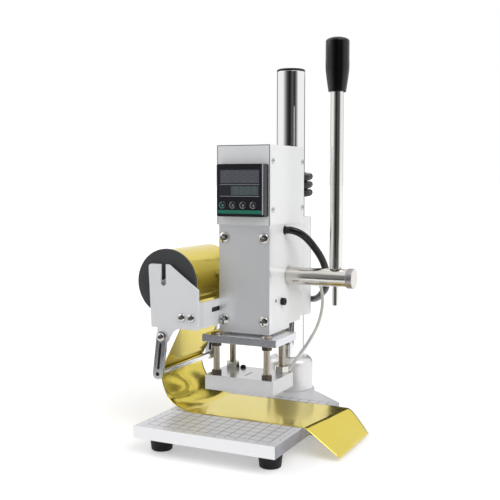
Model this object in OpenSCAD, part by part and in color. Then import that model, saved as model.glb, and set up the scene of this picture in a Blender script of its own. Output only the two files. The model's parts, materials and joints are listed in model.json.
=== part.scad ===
// Hot foil stamping machine for the bench: a base plate with a round column carries a
// height-adjustable head. A hand lever drives a rack and pinion that presses a heated
// plate down on the work, with a foil roll and a controller box on the head.
// X runs to the right, Y to the rear, Z up. The origin is under the middle of the box.

/* [Base] */
// Width of the base plate
base_w = 138; // [120:1:180]
// Depth of the square part of the base plate
base_d = 154; // [140:1:200]
// Thickness of the base plate
base_t = 11; // [9:0.5:16]
// Radius of the rear tongue that carries the column
tongue_r = 26; // [25:0.5:34]
// Where the rear taper changes direction, from the middle
taper_x = 38; // [32:0.5:50]
// Where the rear taper changes direction, behind the square part
taper_y = 28; // [20:0.5:32]
// Diameter of a rubber foot at the plate
foot_d = 22; // [18:0.5:28]
// Diameter of a rubber foot at the table
foot_tip_d = 19; // [14:0.5:26]
// Height of a rubber foot
foot_h = 15; // [11:0.5:22]
// Distance of the feet from the sides of the plate
foot_inset_x = 15; // [13:0.5:30]
// Distance of the feet from the front and rear edges
foot_inset_y = 24; // [14:0.5:40]
// Thread diameter of the screws that hold the feet
foot_screw_d = 5; // [4:0.5:6]

/* [Column] */
// Diameter of the column
column_d = 29; // [25:0.5:32]
// Length of the column above the base plate, cap included
column_l = 330; // [320:1:400]
// Distance of the column's axis behind the square part of the base
column_behind = 38; // [36:0.5:50]
// Diameter of the collar at the foot of the column
collar_d = 48; // [40:0.5:52]
// Height of the collar
collar_h = 34; // [20:0.5:40]
// Rounding of the collar's shoulder
collar_round = 8; // [2:0.5:9]
// Thickness of the cap on the column
cap_t = 2.5; // [2:0.5:8]
// Thread diameter of the bolt that holds the column
column_bolt_d = 8; // [6:1:10]

/* [Head] */
// Width of the head block
head_w = 52; // [48:0.5:60]
// Height of the head block
head_h = 101; // [98:1:115]
// Height of the head's underside above the base plate
head_lift = 75; // [72:0.5:90]
// Distance of the head's front face before the column's axis
head_reach = 109; // [104:0.5:118]
// Thickness of the head's front plate
front_plate_t = 4; // [3:0.5:6]
// Diameter of the sleeve round the column
sleeve_d = 43; // [40:0.5:50]
// Width of the neck between the block and the sleeve
neck_w = 36; // [28:0.5:40]
// Wall behind the pinion
block_wall = 9; // [6:0.5:12]
// Head diameter of the front plate screws
plate_screw_d = 10; // [6:0.5:10.5]
// Distance of the front plate screws from the sides
plate_screw_in = 5.5; // [5:0.1:6]
// Distance of the front plate screws from the plate's ends
plate_screw_end = 12; // [8:0.5:20]

/* [Press] */
// Width of the ram
ram_w = 28; // [24:0.5:30]
// Depth of the ram behind the front plate, without its rack
ram_d = 20; // [18:0.5:24]
// Stroke of the ram
stroke = 19.8; // [10:0.1:20]
// Gap between the head and the upper plate at rest
plate_gap = 1.8; // [1.5:0.1:4]
// Width of the upper plate
upper_w = 76; // [72:0.5:90]
// Depth of the upper plate
upper_d = 47; // [46:0.5:60]
// Thickness of the upper plate
upper_t = 7; // [6:0.5:10]
// Width of the heater plate
heater_w = 70; // [66:0.5:90]
// Depth of the heater plate
heater_d = 46.5; // [45:0.5:60]
// Thickness of the heater plate
heater_t = 14; // [12:0.5:18]
// Clear height between the upper plate and the heater plate
stud_gap = 31.2; // [28:0.1:32]
// Diameter of the studs
stud_d = 6; // [5:0.5:7]
// Spacing of the studs across
stud_x = 52; // [48:0.5:56]
// Spacing of the studs from front to rear
stud_y = 34; // [32:0.5:36]

/* [Drive] */
// Gear module of the rack and pinion
gear_module = 1.5; // [1.25:0.25:1.5]
// Teeth of the pinion
pinion_teeth = 24; // [20:1:25]
// Width of the pinion
pinion_w = 16; // [10:0.5:18]
// Diameter of the lever shaft
shaft_d = 17; // [14:0.5:18]
// Height of the lever shaft above the head's underside
shaft_up = 51; // [48:0.5:54]
// Reach of the lever shaft from the right face of the head
shaft_reach = 60; // [50:0.5:80]
// Diameter of the shaft's end cap
end_cap_d = 19; // [17.5:0.5:24]
// Thickness of the shaft's end cap
end_cap_t = 6.4; // [4:0.1:10]
// Diameter of the lever rod
rod_d = 12; // [8:0.5:13]
// Diameter of the rod's lower end, through the shaft
rod_stub_d = 6; // [5:0.5:7]
// Distance of the rod from the end of the shaft
rod_in = 12; // [8:0.5:20]
// Height of the grip's top above the shaft
lever_l = 222; // [180:1:260]
// Length of the rod's lower end below the shaft
rod_stub_l = 17.5; // [4:0.5:24]
// Length of the grip
grip_l = 50; // [40:1:80]
// Diameter of the grip at the top
grip_d = 22; // [20:0.5:28]
// Diameter of the grip at the bottom
grip_low_d = 16.5; // [16:0.5:18]

/* [Controller box] */
// Width of the box
box_w = 54; // [53:0.5:64]
// Depth of the box
box_d = 81; // [78:0.5:84]
// Height of the box
box_h = 73.5; // [66:0.5:90]
// How far the box overhangs the head in front
box_overhang = 1.7; // [0:0.1:4]
// Thickness of the box's sheet
sheet_t = 1.2; // [1:0.1:1.6]
// Thickness of the box's front panel
panel_t = 2; // [1.5:0.1:3]
// Side of the controller's square bezel
bezel_w = 48; // [46:0.5:50]
// How far the bezel stands out of the panel
bezel_t = 9.5; // [6:0.5:10]
// Rounding of the bezel's corners
bezel_round = 1.5; // [0.5:0.1:3]
// Height of the bezel's middle above the box floor
bezel_up = 32; // [30:0.5:36]
// Depth of the controller's case behind the panel
case_d = 66; // [50:0.5:68]
// Width of the display window
window_w = 41; // [30:0.5:42]
// Height of the display window
window_h = 25; // [15:0.5:26]
// Diameter of a key
key_d = 7.5; // [5:0.1:8]
// Spacing of the keys
key_pitch = 10.4; // [9.2:0.1:10.5]
// Travel of a key
key_travel = 0.8; // [0.3:0.1:1.2]

/* [Foil] */
// Width of the foil
foil_w = 80; // [60:1:84]
// How far the foil's front edge stands before the head's front face
foil_ahead = 24; // [20:0.5:26]
// Diameter of the wound foil
foil_d = 61; // [40:1:62]
// Diameter of the roll's front flange
flange_d = 63; // [50:1:64]
// Diameter of the roll's rear flange
rear_flange_d = 56; // [45:1:60]
// Thickness of a flange
flange_t = 3; // [2:0.5:4]
// Outer diameter of the roll's core tube
core_d = 31; // [29:0.5:36]
// Bore of the roll's core tube
core_bore = 25.4; // [24:0.1:27]
// Distance of the roll's axis left of the head's middle
roll_x = 67.5; // [66:0.5:80]
// Height of the roll's axis above the head's underside
roll_up = 47; // [42:0.5:60]
// Diameter of the roll's axle journals
axle_d = 5.2; // [4:0.1:6]
// Thickness of the bracket and its cheeks
bracket_t = 2; // [1.5:0.1:3]
// Height of the bracket's strip
strip_h = 24; // [18:0.5:30]
// Height of the strip's lower edge above the head's underside
strip_up = 7; // [5:0.5:10]
// Distance of the guide arms' pivot left of the roll's axis
pivot_out = 0.5; // [0:0.5:5]
// Distance of the guide arms' pivot below the roll's axis
pivot_down = 50; // [46:0.5:56]
// Distance between the guide arms' pivot and the guide rod
arm_l = 35.8; // [30:0.1:40]
// Lean of the guide arms to the left
arm_lean = 7; // [0:0.5:12]
// Width of a guide arm
arm_w = 10.4; // [9:0.1:14]
// Thickness of a guide arm
arm_t = 3.5; // [2:0.5:4]
// Diameter of the guide rod
guide_d = 6; // [5:0.5:8]
// Thickness of the foil sheet
foil_t = 0.3; // [0.2:0.05:0.5]
// Reach of the foil's bow to the right of the guide rod
bow_reach = 31; // [28:0.5:36]
// How far the foil's free end lies past the base's right edge
foil_past = 36; // [24:1:40]
// How far the foil's free end hangs below the base's top
foil_drop = 23; // [16:0.5:23]

/* [Leads] */
// Diameter of the heater lead
lead_d = 7; // [5:0.5:7]
// Rise of the heater lead for each turn round the column
turn_rise = 8.2; // [7.8:0.1:9]
// Clearance between the lead's turns and the column
turn_clear = 1.4; // [0.8:0.1:2]
// Diameter of the probe lead
probe_d = 3; // [2:0.5:3.5]

/* [Fits] */
// Radial clearance of turning and sliding fits
fit = 0.05; // [0.02:0.01:0.1]
// Clearance between pieces that pass each other
gap = 0.3; // [0.3:0.05:0.5]

/* [Hidden] */
$fn = 64;
base_top = foot_h + base_t;
column_y = base_d + column_behind;
column_r = column_d / 2;

head_z = base_top + head_lift;
head_top = head_z + head_h;
head_front = column_y - head_reach;
block_front = head_front + front_plate_t;
pitch_r = gear_module * pinion_teeth / 2;
tip_r = pitch_r + gear_module;
dedendum = 1.25 * gear_module;
ram_front = block_front + 2 * fit;
ram_back = ram_front + ram_d;
shaft_y = ram_back + dedendum + pitch_r;
shaft_z = head_z + shaft_up;
cavity_r = tip_r + 2 * gap;
block_back = shaft_y + cavity_r + block_wall;
step_up = 4;
step_back = 42;
step_y = block_front + step_back;
sleeve_z = head_z + step_up;
sleeve_h = head_h;

upper_z = head_z - plate_gap - upper_t;
heater_z = upper_z - stud_gap - heater_t;
heater_mid_z = heater_z + heater_t / 2;
plates_ahead = 12.2;
plates_y = head_front + upper_d / 2 - plates_ahead;
heater_back = plates_y + heater_d / 2;
stud_head_h = 2.4;
stud_grip = 8;
nut_t = 4;
rear_nut_t = 6;
nut_af = 9;
rear_nut_af = 12;

ram_top = shaft_z + stroke + 12;
ram_mid_y = ram_front + ram_d / 2;
rack_teeth_n = floor((stroke + 18) / (PI * gear_module));
rack_w = pinion_w + 2;
spring_od = 11.4;
spring_wire = 1.4;
spring_bore = spring_od + 1.6;
spring_turns = 10;
stop_pin_d = 5;
stop_pin_z = head_z + 18;
spring_foot = stop_pin_z + stop_pin_d / 2;
spring_roof = ram_top - 8;

bush_wall = 2.5;
bush_l = 12;
half_w = head_w / 2;
shaft_end_x = half_w + shaft_reach;
lever_x = shaft_end_x - rod_in;
shaft_tail = 4;
ring_t = 1.2;
ring_groove = 1;
cap_pin_d = 6;
cap_pin_l = 5;
rod_in_grip = 40;

box_z = head_top;
box_front = head_front - box_overhang;
panel_back = box_front + panel_t;
box_back = box_front + box_d;
box_in = box_w / 2 - sheet_t;
floor_t = 2;
tab_t = 2;
tab_d = 9;
cover_screw_in = 14.5;
cover_screw_z = [cover_screw_in, box_h - cover_screw_in];
cover_screw_d = 3;
cover_head_d = 5.4;
bezel_z = box_z + bezel_up;
bezel_front = box_front - bezel_t;
case_w = bezel_w - 4.4;
bezel_side = 1.6;
window_mid = 0.7;
window_z = bezel_z + 6.5;
window_t = 1;
key_z = bezel_z - 13.5;
key_mid = -0.8;
key_out = 1;
key_in = 2.6;
key_names = ["key_set", "key_shift", "key_down", "key_up"];

axle_x = -roll_x;
axle_z = head_z + roll_up;
foil_front = head_front - foil_ahead;
foil_back = foil_front + foil_w;
flange_clear = 1.5;
cheek_in_front = foil_front - flange_t - flange_clear - bracket_t;
cheek_in_back = foil_back + flange_t + flange_clear + bracket_t;
strip_x = -half_w;
pivot_x = axle_x - pivot_out;
pivot_z = axle_z - pivot_down;
guide_x = pivot_x - arm_l * sin(arm_lean);
guide_z = pivot_z - arm_l * cos(arm_lean);
pivot_screw_d = 4;
arm_front = cheek_in_front - bracket_t - gap;
arm_back = cheek_in_back + bracket_t + gap;
strip_screw_in = 5;
strip_screw_pitch = 35;
strip_screw_y = [block_front + strip_screw_in, block_front + strip_screw_in + strip_screw_pitch];
strip_slot = 22;
strip_screw_z = head_z + strip_up + 15;
strip_screw_d = 4;
flap_l = 26;
cheek_screw_in = 4;
cheek_screw_pitch = 10;
cheek_screw_x = [strip_x - flap_l + cheek_screw_in + cheek_screw_pitch, strip_x - flap_l + cheek_screw_in];
cheek_screw_z = head_z + strip_up + 9;

// The foil's way: off the right side of the roll, round the left of the guide rod,
// down to the base in a soft bow, over the base and down past its right edge.
web_r = foil_d / 2 + gap + foil_t / 2;
bend_r = guide_d / 2 + gap + foil_t / 2;
span = [guide_x - axle_x, guide_z - axle_z];
span_dir = atan2(span[1], span[0]) + acos((web_r + bend_r) / norm(span));
flat_z = base_top + foil_t / 2;
bow_start = 1;
bow_lean = 2;
bow_fall = 14;
bow_run = 20;
bow_in = [guide_x - bend_r, guide_z - bow_start];
bow_out = [guide_x + bow_reach, flat_z];
edge_x = base_w / 2;
ridge = [edge_x, flat_z];
ridge_run = 9;
ridge_reach = 14;
ridge_drop = 4;
foil_end = [edge_x + foil_past, base_top - foil_drop];
lay_ahead = 4;
lay_from = bow_out + [lay_ahead, 0];
function polar(c, r, a) = c + r * [cos(a), sin(a)];
function bow(p, t) = p[0] * pow(1 - t, 3) + 3 * p[1] * t * pow(1 - t, 2)
    + 3 * p[2] * t * t * (1 - t) + p[3] * pow(t, 3);
web_path = concat(
    [polar([axle_x, axle_z], web_r, span_dir)],
    [for (a = [180 + span_dir : 7 : 179]) polar([guide_x, guide_z], bend_r, a)],
    [for (t = [0 : 0.1 : 1])
        bow([bow_in, bow_in - [bow_lean, bow_fall], bow_out - [bow_run, 0], bow_out], t)], [lay_from]);
lay_path = concat([lay_from], [for (t = [0 : 0.125 : 1])
    bow([ridge, ridge + [ridge_run, 0], ridge + [ridge_reach, -ridge_drop], foil_end], t)]);

// The heater lead: from the head's right side round behind the sleeve and up to its
// turns on the column, and from the last turn forward into the box.
gland_d = 9;
gland_l = 8;
gland_bore = 4.5;
gland_face = 2;
gland_lip = 1;
wall_gland_l = 5;
lead_r = lead_d / 2;
turn_r = column_r + turn_clear + lead_r;
turns = 3.125;
turn_from = 135;
turn_z = head_top + 23;
lead_shape = [[half_w, -74, -6], [half_w + 7, -74, -6], [40, -70, -9], [45, -63, -15], [49, -56, -23],
    [52, -48, -32], [53, -40, -41], [52, -31, -51], [49, -22, -60], [44, -13, -68],
    [37, -4, -74], [30, 6, -79], [22, 16, -83], [12, 25, -85], [2, 31, -84],
    [-7, 34, -78], [-13, 35, -68], [-15, 35, -55], [-15, 35, -41], [-13, 35, -27],
    [-10, 35, -14], [-6, 34, -2], [-3, 31, 8], [-3, 26, 16], [-7, 20, 21]];
lead_route = [for (p = lead_shape) [p[0], column_y + p[1], head_top + p[2]]];
winding = [for (i = [0 : turns * 24]) let (a = turn_from + i * 15)
    [turn_r * cos(a), column_y + turn_r * sin(a), turn_z + turn_rise * i / 24]];
lead_join = concat(lead_route, [winding[0]]);
lead_last = winding[len(winding) - 1];
lead_in = [lead_last, [lead_last[0], lead_last[1] - 10, lead_last[2]],
    [lead_last[0], box_back + gland_lip, lead_last[2]]];
// The probe lead: from the heater plate's rear up behind the shaft into the head.
probe_x = 25;
probe_start = [probe_x, heater_back + gap, heater_mid_z];
probe_shape = [[27, 1, -92], [32, 7, -82], [38, 13, -72], [44, 18, -60], [48, 21, -50], [51, 23, -38],
    [52, 24, -27], [51, 24, -17], [48, 24, -8], [42, 23, -2], [half_w + 8, 23, 0], [half_w, 23, 0]];
probe_route = concat([probe_start, probe_start + [0, 4, 0]],
    [for (p = probe_shape) [p[0], shaft_y + p[1], shaft_z + p[2]]]);

// Least distance between points of the winding that lie a half turn or more apart
winding_gap = min([for (i = [0 : len(winding) - 13]) for (j = [i + 12 : len(winding) - 1])
    norm(winding[i] - winding[j])]) - lead_d;
echo(winding_gap = winding_gap);

x_low = axle_x - flange_d / 2;
x_high = max(foil_end[0], shaft_end_x + end_cap_t);
y_high = max([for (p = lead_route) p[1]]) + lead_r;
origin = [-(x_low + x_high) / 2, -y_high / 2, 0];

// Shared shapes

// A cylinder along X, from x, at height z
module rod_x(d, from, to, y, z) {
    translate([from, y, z]) rotate([0, 90, 0]) cylinder(d = d, h = to - from);
}

// A cylinder along Y
module rod_y(d, x, from, to, z) {
    translate([x, from, z]) rotate([-90, 0, 0]) cylinder(d = d, h = to - from);
}

// A cylinder along Z
module rod_z(d, x, y, from, to) {
    translate([x, y, from]) cylinder(d = d, h = to - from);
}

// A block given by its two corners
module block(a, b) {
    translate(a) cube(b - a);
}

// A plate in the XZ plane: its outline drawn with X across and Z up
module upright(from, to) {
    translate([0, to, 0]) rotate([90, 0, 0]) linear_extrude(to - from) children();
}

// A screw with a low round head, its head's underside at the origin, its shank along -Z
module round_screw(head_d, head_h, shank_d, shank_l) {
    rotate_extrude() polygon(concat([[0, -shank_l], [shank_d / 2, -shank_l], [shank_d / 2, 0],
        [head_d / 2, 0]], [for (a = [0 : 15 : 90]) [head_d / 2 * cos(a), head_h * (0.35 + 0.65 * sin(a))]]));
}

// A hexagon nut with its bore, standing on the XY plane
module hex_nut(af, t, bore) {
    difference() {
        cylinder(d = af / cos(30), h = t, $fn = 6);
        translate([0, 0, -1]) cylinder(d = bore, h = t + 2);
    }
}

// A bar with round ends between two points of a plane
module slot_shape(a, b, w) {
    translate(a) circle(d = w);
    translate(b) circle(d = w);
    translate(a) rotate(atan2(b[1] - a[1], b[0] - a[0])) translate([0, -w / 2]) square([norm(b - a), w]);
}

function unit(v) = v / norm(v);
function heading(p, i) = unit(p[min(i + 1, len(p) - 1)] - p[max(i - 1, 0)]);
function across(n, t) = unit(n - (n * t) * t);

// A tube of flat sides along a row of points
module tube(path, d, sides) {
    count = len(path);
    frames = [for (i = 0, n = across([0.3, 0.2, 0.9], heading(path, 0)); i < count;
        i = i + 1, n = i < count ? across(n, heading(path, i)) : n) n];
    points = [for (i = [0 : count - 1]) let (n = frames[i], b = cross(heading(path, i), n))
        for (k = [0 : sides - 1]) path[i] + d / 2 * (cos(k * 360 / sides) * n + sin(k * 360 / sides) * b)];
    skin = [for (i = [0 : count - 2]) for (k = [0 : sides - 1]) let (a = i * sides + k,
        b = i * sides + (k + 1) % sides) each [[a, a + sides, b], [b, a + sides, b + sides]]];
    start = [for (k = [1 : sides - 2]) [0, k, k + 1]];
    last = (count - 1) * sides;
    finish = [for (k = [1 : sides - 2]) [last, last + k + 1, last + k]];
    polyhedron(points = points, faces = concat(skin, start, finish));
}

function foot_places() = [for (x = [-1, 1]) for (y = [foot_inset_y, base_d - foot_inset_y])
    [x * (base_w / 2 - foot_inset_x), y]];
function stud_places() = [for (x = [-1, 1]) for (y = [-1, 1])
    [x * stud_x / 2, plates_y + y * stud_y / 2]];
function plate_screw_places() = [for (x = [-1, 1]) for (z = [plate_screw_end, head_h - plate_screw_end])
    [x * (half_w - plate_screw_in), head_z + z]];

// Base

module base_outline() {
    translate([-base_w / 2, 0]) square([base_w, base_d]);
    polygon([[-base_w / 2, base_d - 1], [base_w / 2, base_d - 1], [base_w / 2, base_d],
        [taper_x, base_d + taper_y], [tongue_r, column_y], [-tongue_r, column_y],
        [-taper_x, base_d + taper_y], [-base_w / 2, base_d]]);
    translate([0, column_y]) circle(r = tongue_r);
}

bolt_head_d = column_bolt_d * 1.6;
bolt_head_h = 5;
bolt_in = 20;
foot_thread_l = 7;

module base_plate() color("silver") difference() {
    translate([0, 0, foot_h]) linear_extrude(base_t) base_outline();
    for (p = foot_places()) rod_z(foot_screw_d, p[0], p[1], foot_h - 1, foot_h + foot_thread_l);
    rod_z(column_bolt_d + 2 * fit, 0, column_y, foot_h - 1, base_top + 1);
    rod_z(bolt_head_d + 2 * gap, 0, column_y, foot_h - 1, foot_h + bolt_head_h + gap);
}

foot_recess_d = foot_screw_d * 2;
foot_recess_h = 6;

module rubber_feet() color("#1c1c1e") for (p = foot_places()) translate(p) rotate_extrude()
    polygon([[foot_recess_d / 2, 0], [foot_tip_d / 2 - 1, 0], [foot_tip_d / 2, 1], [foot_d / 2, foot_h - 2],
        [foot_d / 2, foot_h], [foot_screw_d / 2 + fit, foot_h], [foot_screw_d / 2 + fit, foot_recess_h],
        [foot_recess_d / 2, foot_recess_h]]);

module foot_screws() color("#8c8c90") for (p = foot_places()) translate([p[0], p[1], foot_recess_h])
    rotate([180, 0, 0])
        round_screw(foot_recess_d - 1, 3, foot_screw_d - 2 * fit, foot_h - foot_recess_h + foot_thread_l - 1);

// Column

cap_spigot_d = column_d - 9;
cap_spigot_l = 8;
column_top = base_top + column_l - cap_t;

module column() color("#c8cacc") difference() {
    rod_z(column_d, 0, column_y, base_top, column_top);
    rod_z(cap_spigot_d + 2 * fit, 0, column_y, column_top - cap_spigot_l - gap, column_top + 1);
    rod_z(column_bolt_d, 0, column_y, base_top - 1, base_top + bolt_in + 4);
}

module column_cap() color("#202124") {
    translate([0, column_y, column_top]) rotate_extrude()
        polygon([[0, 0], [column_r, 0], [column_r, cap_t - 1], [column_r - 1, cap_t], [0, cap_t]]);
    rod_z(cap_spigot_d, 0, column_y, column_top - cap_spigot_l, column_top + 1);
}

module column_collar() color("#d4d6d8") translate([0, column_y, base_top]) rotate_extrude()
    polygon(concat([[column_r + fit, 0], [collar_d / 2, 0]],
        [for (a = [0 : 10 : 90]) [collar_d / 2 - collar_round * (1 - cos(a)),
            collar_h - collar_round * (1 - sin(a))]], [[column_r + fit, collar_h]]));

module column_bolt() color("#5a5c60") {
    rod_z(column_bolt_d - 2 * fit, 0, column_y, foot_h + bolt_head_h - 1, base_top + bolt_in);
    difference() {
        rod_z(bolt_head_d, 0, column_y, foot_h, foot_h + bolt_head_h);
        translate([0, column_y, foot_h - 1]) cylinder(d = column_bolt_d * 0.75, h = 4, $fn = 6);
    }
}

// Head

lock_screw_d = 8;
lock_screw_in = 22;
lock_screw_z = [sleeve_z + lock_screw_in, sleeve_z + sleeve_h - lock_screw_in];
side_screw_d = 5;
side_screw_y = shaft_y - 16.5;
side_screw_z = shaft_z - 23;
chassis_screw_x = 20;
chassis_screw_in = 10;
chassis_screw_y = [block_front + chassis_screw_in, block_back - chassis_screw_in];
chassis_screw_d = 4;
chassis_thread_l = 5;
pin_end = 4;
side_gland = [half_w, lead_route[0][1], lead_route[0][2]];
probe_last = probe_route[len(probe_route) - 1];
probe_gland = [half_w, probe_last[1], probe_last[2]];
thread_l = 9;
plate_thread = 4;
plate_head_h = 3;
pan_d = 8;
pan_h = 2.6;
cheek_thread = 4;

module head_body() color("#eceded") difference() {
    union() {
        block([-half_w, block_front, head_z], [half_w, step_y, head_top]);
        block([-half_w, step_y - 1, sleeve_z], [half_w, block_back, head_top]);
        block([-neck_w / 2, block_back - 1, sleeve_z], [neck_w / 2, column_y, head_top]);
        rod_z(sleeve_d, 0, column_y, sleeve_z, sleeve_z + sleeve_h);
    }
    block([-ram_w / 2 - 2 * fit, block_front - 1, head_z - 1],
        [ram_w / 2 + 2 * fit, ram_back + dedendum + gear_module + 2 * gap, head_top - 4]);
    rod_x(2 * cavity_r, -pinion_w / 2 - 2 * gap, pinion_w / 2 + 2 * gap, shaft_y, shaft_z);
    rod_x(shaft_d + 2 * bush_wall, -half_w - 1, half_w + 1, shaft_y, shaft_z);
    rod_z(column_d + 2 * fit, 0, column_y, sleeve_z - 1, sleeve_z + sleeve_h + 1);
    for (z = lock_screw_z) rod_x(lock_screw_d, -sleeve_d, 0, column_y, z);
    rod_x(side_screw_d, half_w - thread_l, half_w + 1, side_screw_y, side_screw_z);
    rod_x(stop_pin_d, -half_w + pin_end, half_w - pin_end, ram_mid_y, stop_pin_z);
    for (p = plate_screw_places()) rod_y(plate_thread, p[0], block_front - 1, block_front + thread_l, p[1]);
    for (y = strip_screw_y) rod_x(strip_screw_d, -half_w - 1, -half_w + thread_l, y, strip_screw_z);
    for (x = [-1, 1]) for (y = chassis_screw_y)
        rod_z(chassis_screw_d, x * chassis_screw_x, y, head_top - chassis_thread_l - 1, head_top + 1);
    rod_x(gland_d, half_w - gland_l, half_w + 1, side_gland[1], side_gland[2]);
    rod_x(gland_d, half_w - gland_l, half_w + 1, probe_gland[1], probe_gland[2]);
}

module head_front_plate() color("#c9cccf") difference() {
    block([-half_w, head_front, head_z], [half_w, block_front, head_top]);
    for (p = plate_screw_places()) rod_y(plate_thread + 2 * fit, p[0], head_front - 1, block_front + 1, p[1]);
}

module front_plate_screws() color("#b9babd") for (p = plate_screw_places())
    translate([p[0], head_front, p[1]]) rotate([90, 0, 0])
        round_screw(plate_screw_d, plate_head_h, plate_thread - 2 * fit, front_plate_t + thread_l - 1);

module head_lock_screws() color("#3a3b3e") for (z = lock_screw_z) {
    rod_x(lock_screw_d - 2 * fit, -sleeve_d / 2, -column_r - gap, column_y, z);
    difference() {
        rod_x(lock_screw_d * 1.6, -sleeve_d / 2 - lock_screw_d, -sleeve_d / 2, column_y, z);
        translate([-sleeve_d / 2 - lock_screw_d - 1, column_y, z]) rotate([0, 90, 0])
            cylinder(d = lock_screw_d * 0.8, h = 5, $fn = 6);
    }
}

module side_lock_screw() color("#1f2022") {
    rod_x(side_screw_d - 2 * fit, half_w - thread_l + 1, half_w + 1, side_screw_y, side_screw_z);
    difference() {
        rod_x(side_screw_d * 1.4, half_w, half_w + 4, side_screw_y, side_screw_z);
        translate([half_w + 2, side_screw_y, side_screw_z]) rotate([0, 90, 0])
            cylinder(d = side_screw_d * 0.7, h = 3, $fn = 6);
    }
}

module spring_stop_pin() color("#9a9ca0")
    rod_x(stop_pin_d - 2 * fit, -half_w + pin_end + gap, half_w - pin_end - gap, ram_mid_y, stop_pin_z);

// The compression spring between the fixed pin and the roof of the ram's bore
spring_rise = spring_roof - spring_foot - spring_wire - 2 * gap;
spring_low = spring_foot + gap + spring_wire / 2;
spring_points = [for (i = [0 : spring_turns * 8]) let (a = i * 45, r = (spring_od - spring_wire) / 2)
    [r * cos(a), ram_mid_y + r * sin(a), spring_low + spring_rise * i / (spring_turns * 8)]];
spring_self_gap = spring_rise / spring_turns - spring_wire;
echo(spring_self_gap = spring_self_gap);

module return_spring() color("#a8aaae") tube(spring_points, spring_wire, 6);

module shaft_bushes() color("#b58a3c") for (side = [0, 1]) mirror([side, 0, 0]) difference() {
    rod_x(shaft_d + 2 * bush_wall - 2 * fit, half_w - bush_l, half_w, shaft_y, shaft_z);
    rod_x(shaft_d + 2 * fit, half_w - bush_l - 1, half_w + 1, shaft_y, shaft_z);
}

// Controller box

lead_hole = [lead_last[0], lead_last[2]];
mains_hole = [box_in - 9, box_z + 14];

module box_chassis() color("#e2e3e4") difference() {
    union() {
        block([-box_in + fit, panel_back, box_z], [box_in - fit, box_back, box_z + floor_t]);
        block([-box_in + fit, box_back - floor_t, box_z],
            [box_in - fit, box_back, box_z + box_h - sheet_t - fit]);
        for (x = [-box_in + fit, box_in - fit - tab_t])
            block([x, box_back - tab_d, box_z], [x + tab_t, box_back, box_z + box_h - sheet_t - fit]);
    }
    for (x = [-1, 1]) for (y = chassis_screw_y)
        rod_z(chassis_screw_d + 2 * fit, x * chassis_screw_x, y, box_z - 1, box_z + floor_t + 1);
    rod_y(gland_d, lead_hole[0], box_back - 4, box_back + 1, lead_hole[1]);
    rod_y(gland_d, mains_hole[0], box_back - 4, box_back + 1, mains_hole[1]);
    for (z = cover_screw_z) rod_x(cover_screw_d, -box_w, box_w, box_back - tab_d / 2, box_z + z);
}

module box_cover() color("#f1f1f1") difference() {
    block([-box_w / 2, panel_back, box_z], [box_w / 2, box_back, box_z + box_h]);
    block([-box_in, panel_back - 1, box_z - 1], [box_in, box_back + 1, box_z + box_h - sheet_t]);
    for (y = [panel_back + tab_d / 2, box_back - tab_d / 2]) for (z = cover_screw_z)
        rod_x(cover_screw_d + 2 * fit, -box_w, box_w, y, box_z + z);
}

module box_front_panel() color("#dfe0e2") difference() {
    union() {
        block([-box_w / 2, box_front, box_z], [box_w / 2, panel_back, box_z + box_h]);
        for (x = [-box_in + fit, box_in - fit - tab_t]) block([x, panel_back - 1, box_z + floor_t + gap],
            [x + tab_t, panel_back + tab_d, box_z + box_h - sheet_t - gap]);
    }
    block([-case_w / 2 - gap, box_front - 1, bezel_z - case_w / 2 - gap],
        [case_w / 2 + gap, panel_back + 1, bezel_z + case_w / 2 + gap]);
    for (z = cover_screw_z) rod_x(cover_screw_d, -box_w, box_w, panel_back + tab_d / 2, box_z + z);
}

module cover_screws() color("#c2c3c6") for (side = [0, 1]) mirror([side, 0, 0])
    for (y = [panel_back + tab_d / 2, box_back - tab_d / 2]) for (z = cover_screw_z)
        translate([box_w / 2, y, box_z + z]) rotate([0, 90, 0])
            round_screw(cover_head_d, 1, cover_screw_d - 2 * fit, sheet_t + tab_t);

module chassis_screws() color("#c2c3c6") for (x = [-1, 1]) for (y = chassis_screw_y)
    translate([x * chassis_screw_x, y, box_z + floor_t])
        round_screw(chassis_screw_d * 1.75, 2, chassis_screw_d - 2 * fit, floor_t + chassis_thread_l);

module controller_case() color("#26272a")
    block([-case_w / 2, box_front, bezel_z - case_w / 2],
        [case_w / 2, box_front + case_d, bezel_z + case_w / 2]);

module bezel_shape() {
    side = bezel_w / 2 - bezel_round;
    square([bezel_w, 2 * side], center = true);
    square([2 * side, bezel_w], center = true);
    for (x = [-side, side]) for (y = [-side, side]) translate([x, y]) circle(r = bezel_round);
}

function key_x(i) = key_mid + (i - 1.5) * key_pitch;

module controller_bezel() color("#17181a") difference() {
    upright(bezel_front, box_front) translate([bezel_side, bezel_z]) bezel_shape();
    block([window_mid - window_w / 2, bezel_front - 1, window_z - window_h / 2],
        [window_mid + window_w / 2, bezel_front + window_t, window_z + window_h / 2]);
    for (i = [0 : 3])
        rod_y(key_d + 2 * gap, key_x(i), bezel_front - 1, bezel_front + key_in + key_travel + gap, key_z);
}

module controller_window() color("#3a4042")
    block([window_mid - window_w / 2 + fit, bezel_front, window_z - window_h / 2 + fit],
        [window_mid + window_w / 2 - fit, bezel_front + window_t, window_z + window_h / 2 - fit]);

module key(i) color("#55585c") translate([key_x(i), bezel_front - key_out, key_z]) rotate([-90, 0, 0])
    rotate_extrude() polygon([[0, 0], [key_d / 2 - 0.6, 0], [key_d / 2, 0.5], [key_d / 2, key_out + key_in],
        [0, key_out + key_in]]);

// Leads

// A bush in a wall, its outer face at the origin and its body along -Z, with a blind or open bore
module gland(body_l, bore_d, face_t) {
    difference() {
        translate([0, 0, -body_l]) cylinder(d = gland_d - 2 * fit, h = body_l);
        translate([0, 0, -body_l - 1]) cylinder(d = bore_d, h = body_l + 1 - face_t);
    }
}

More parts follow.
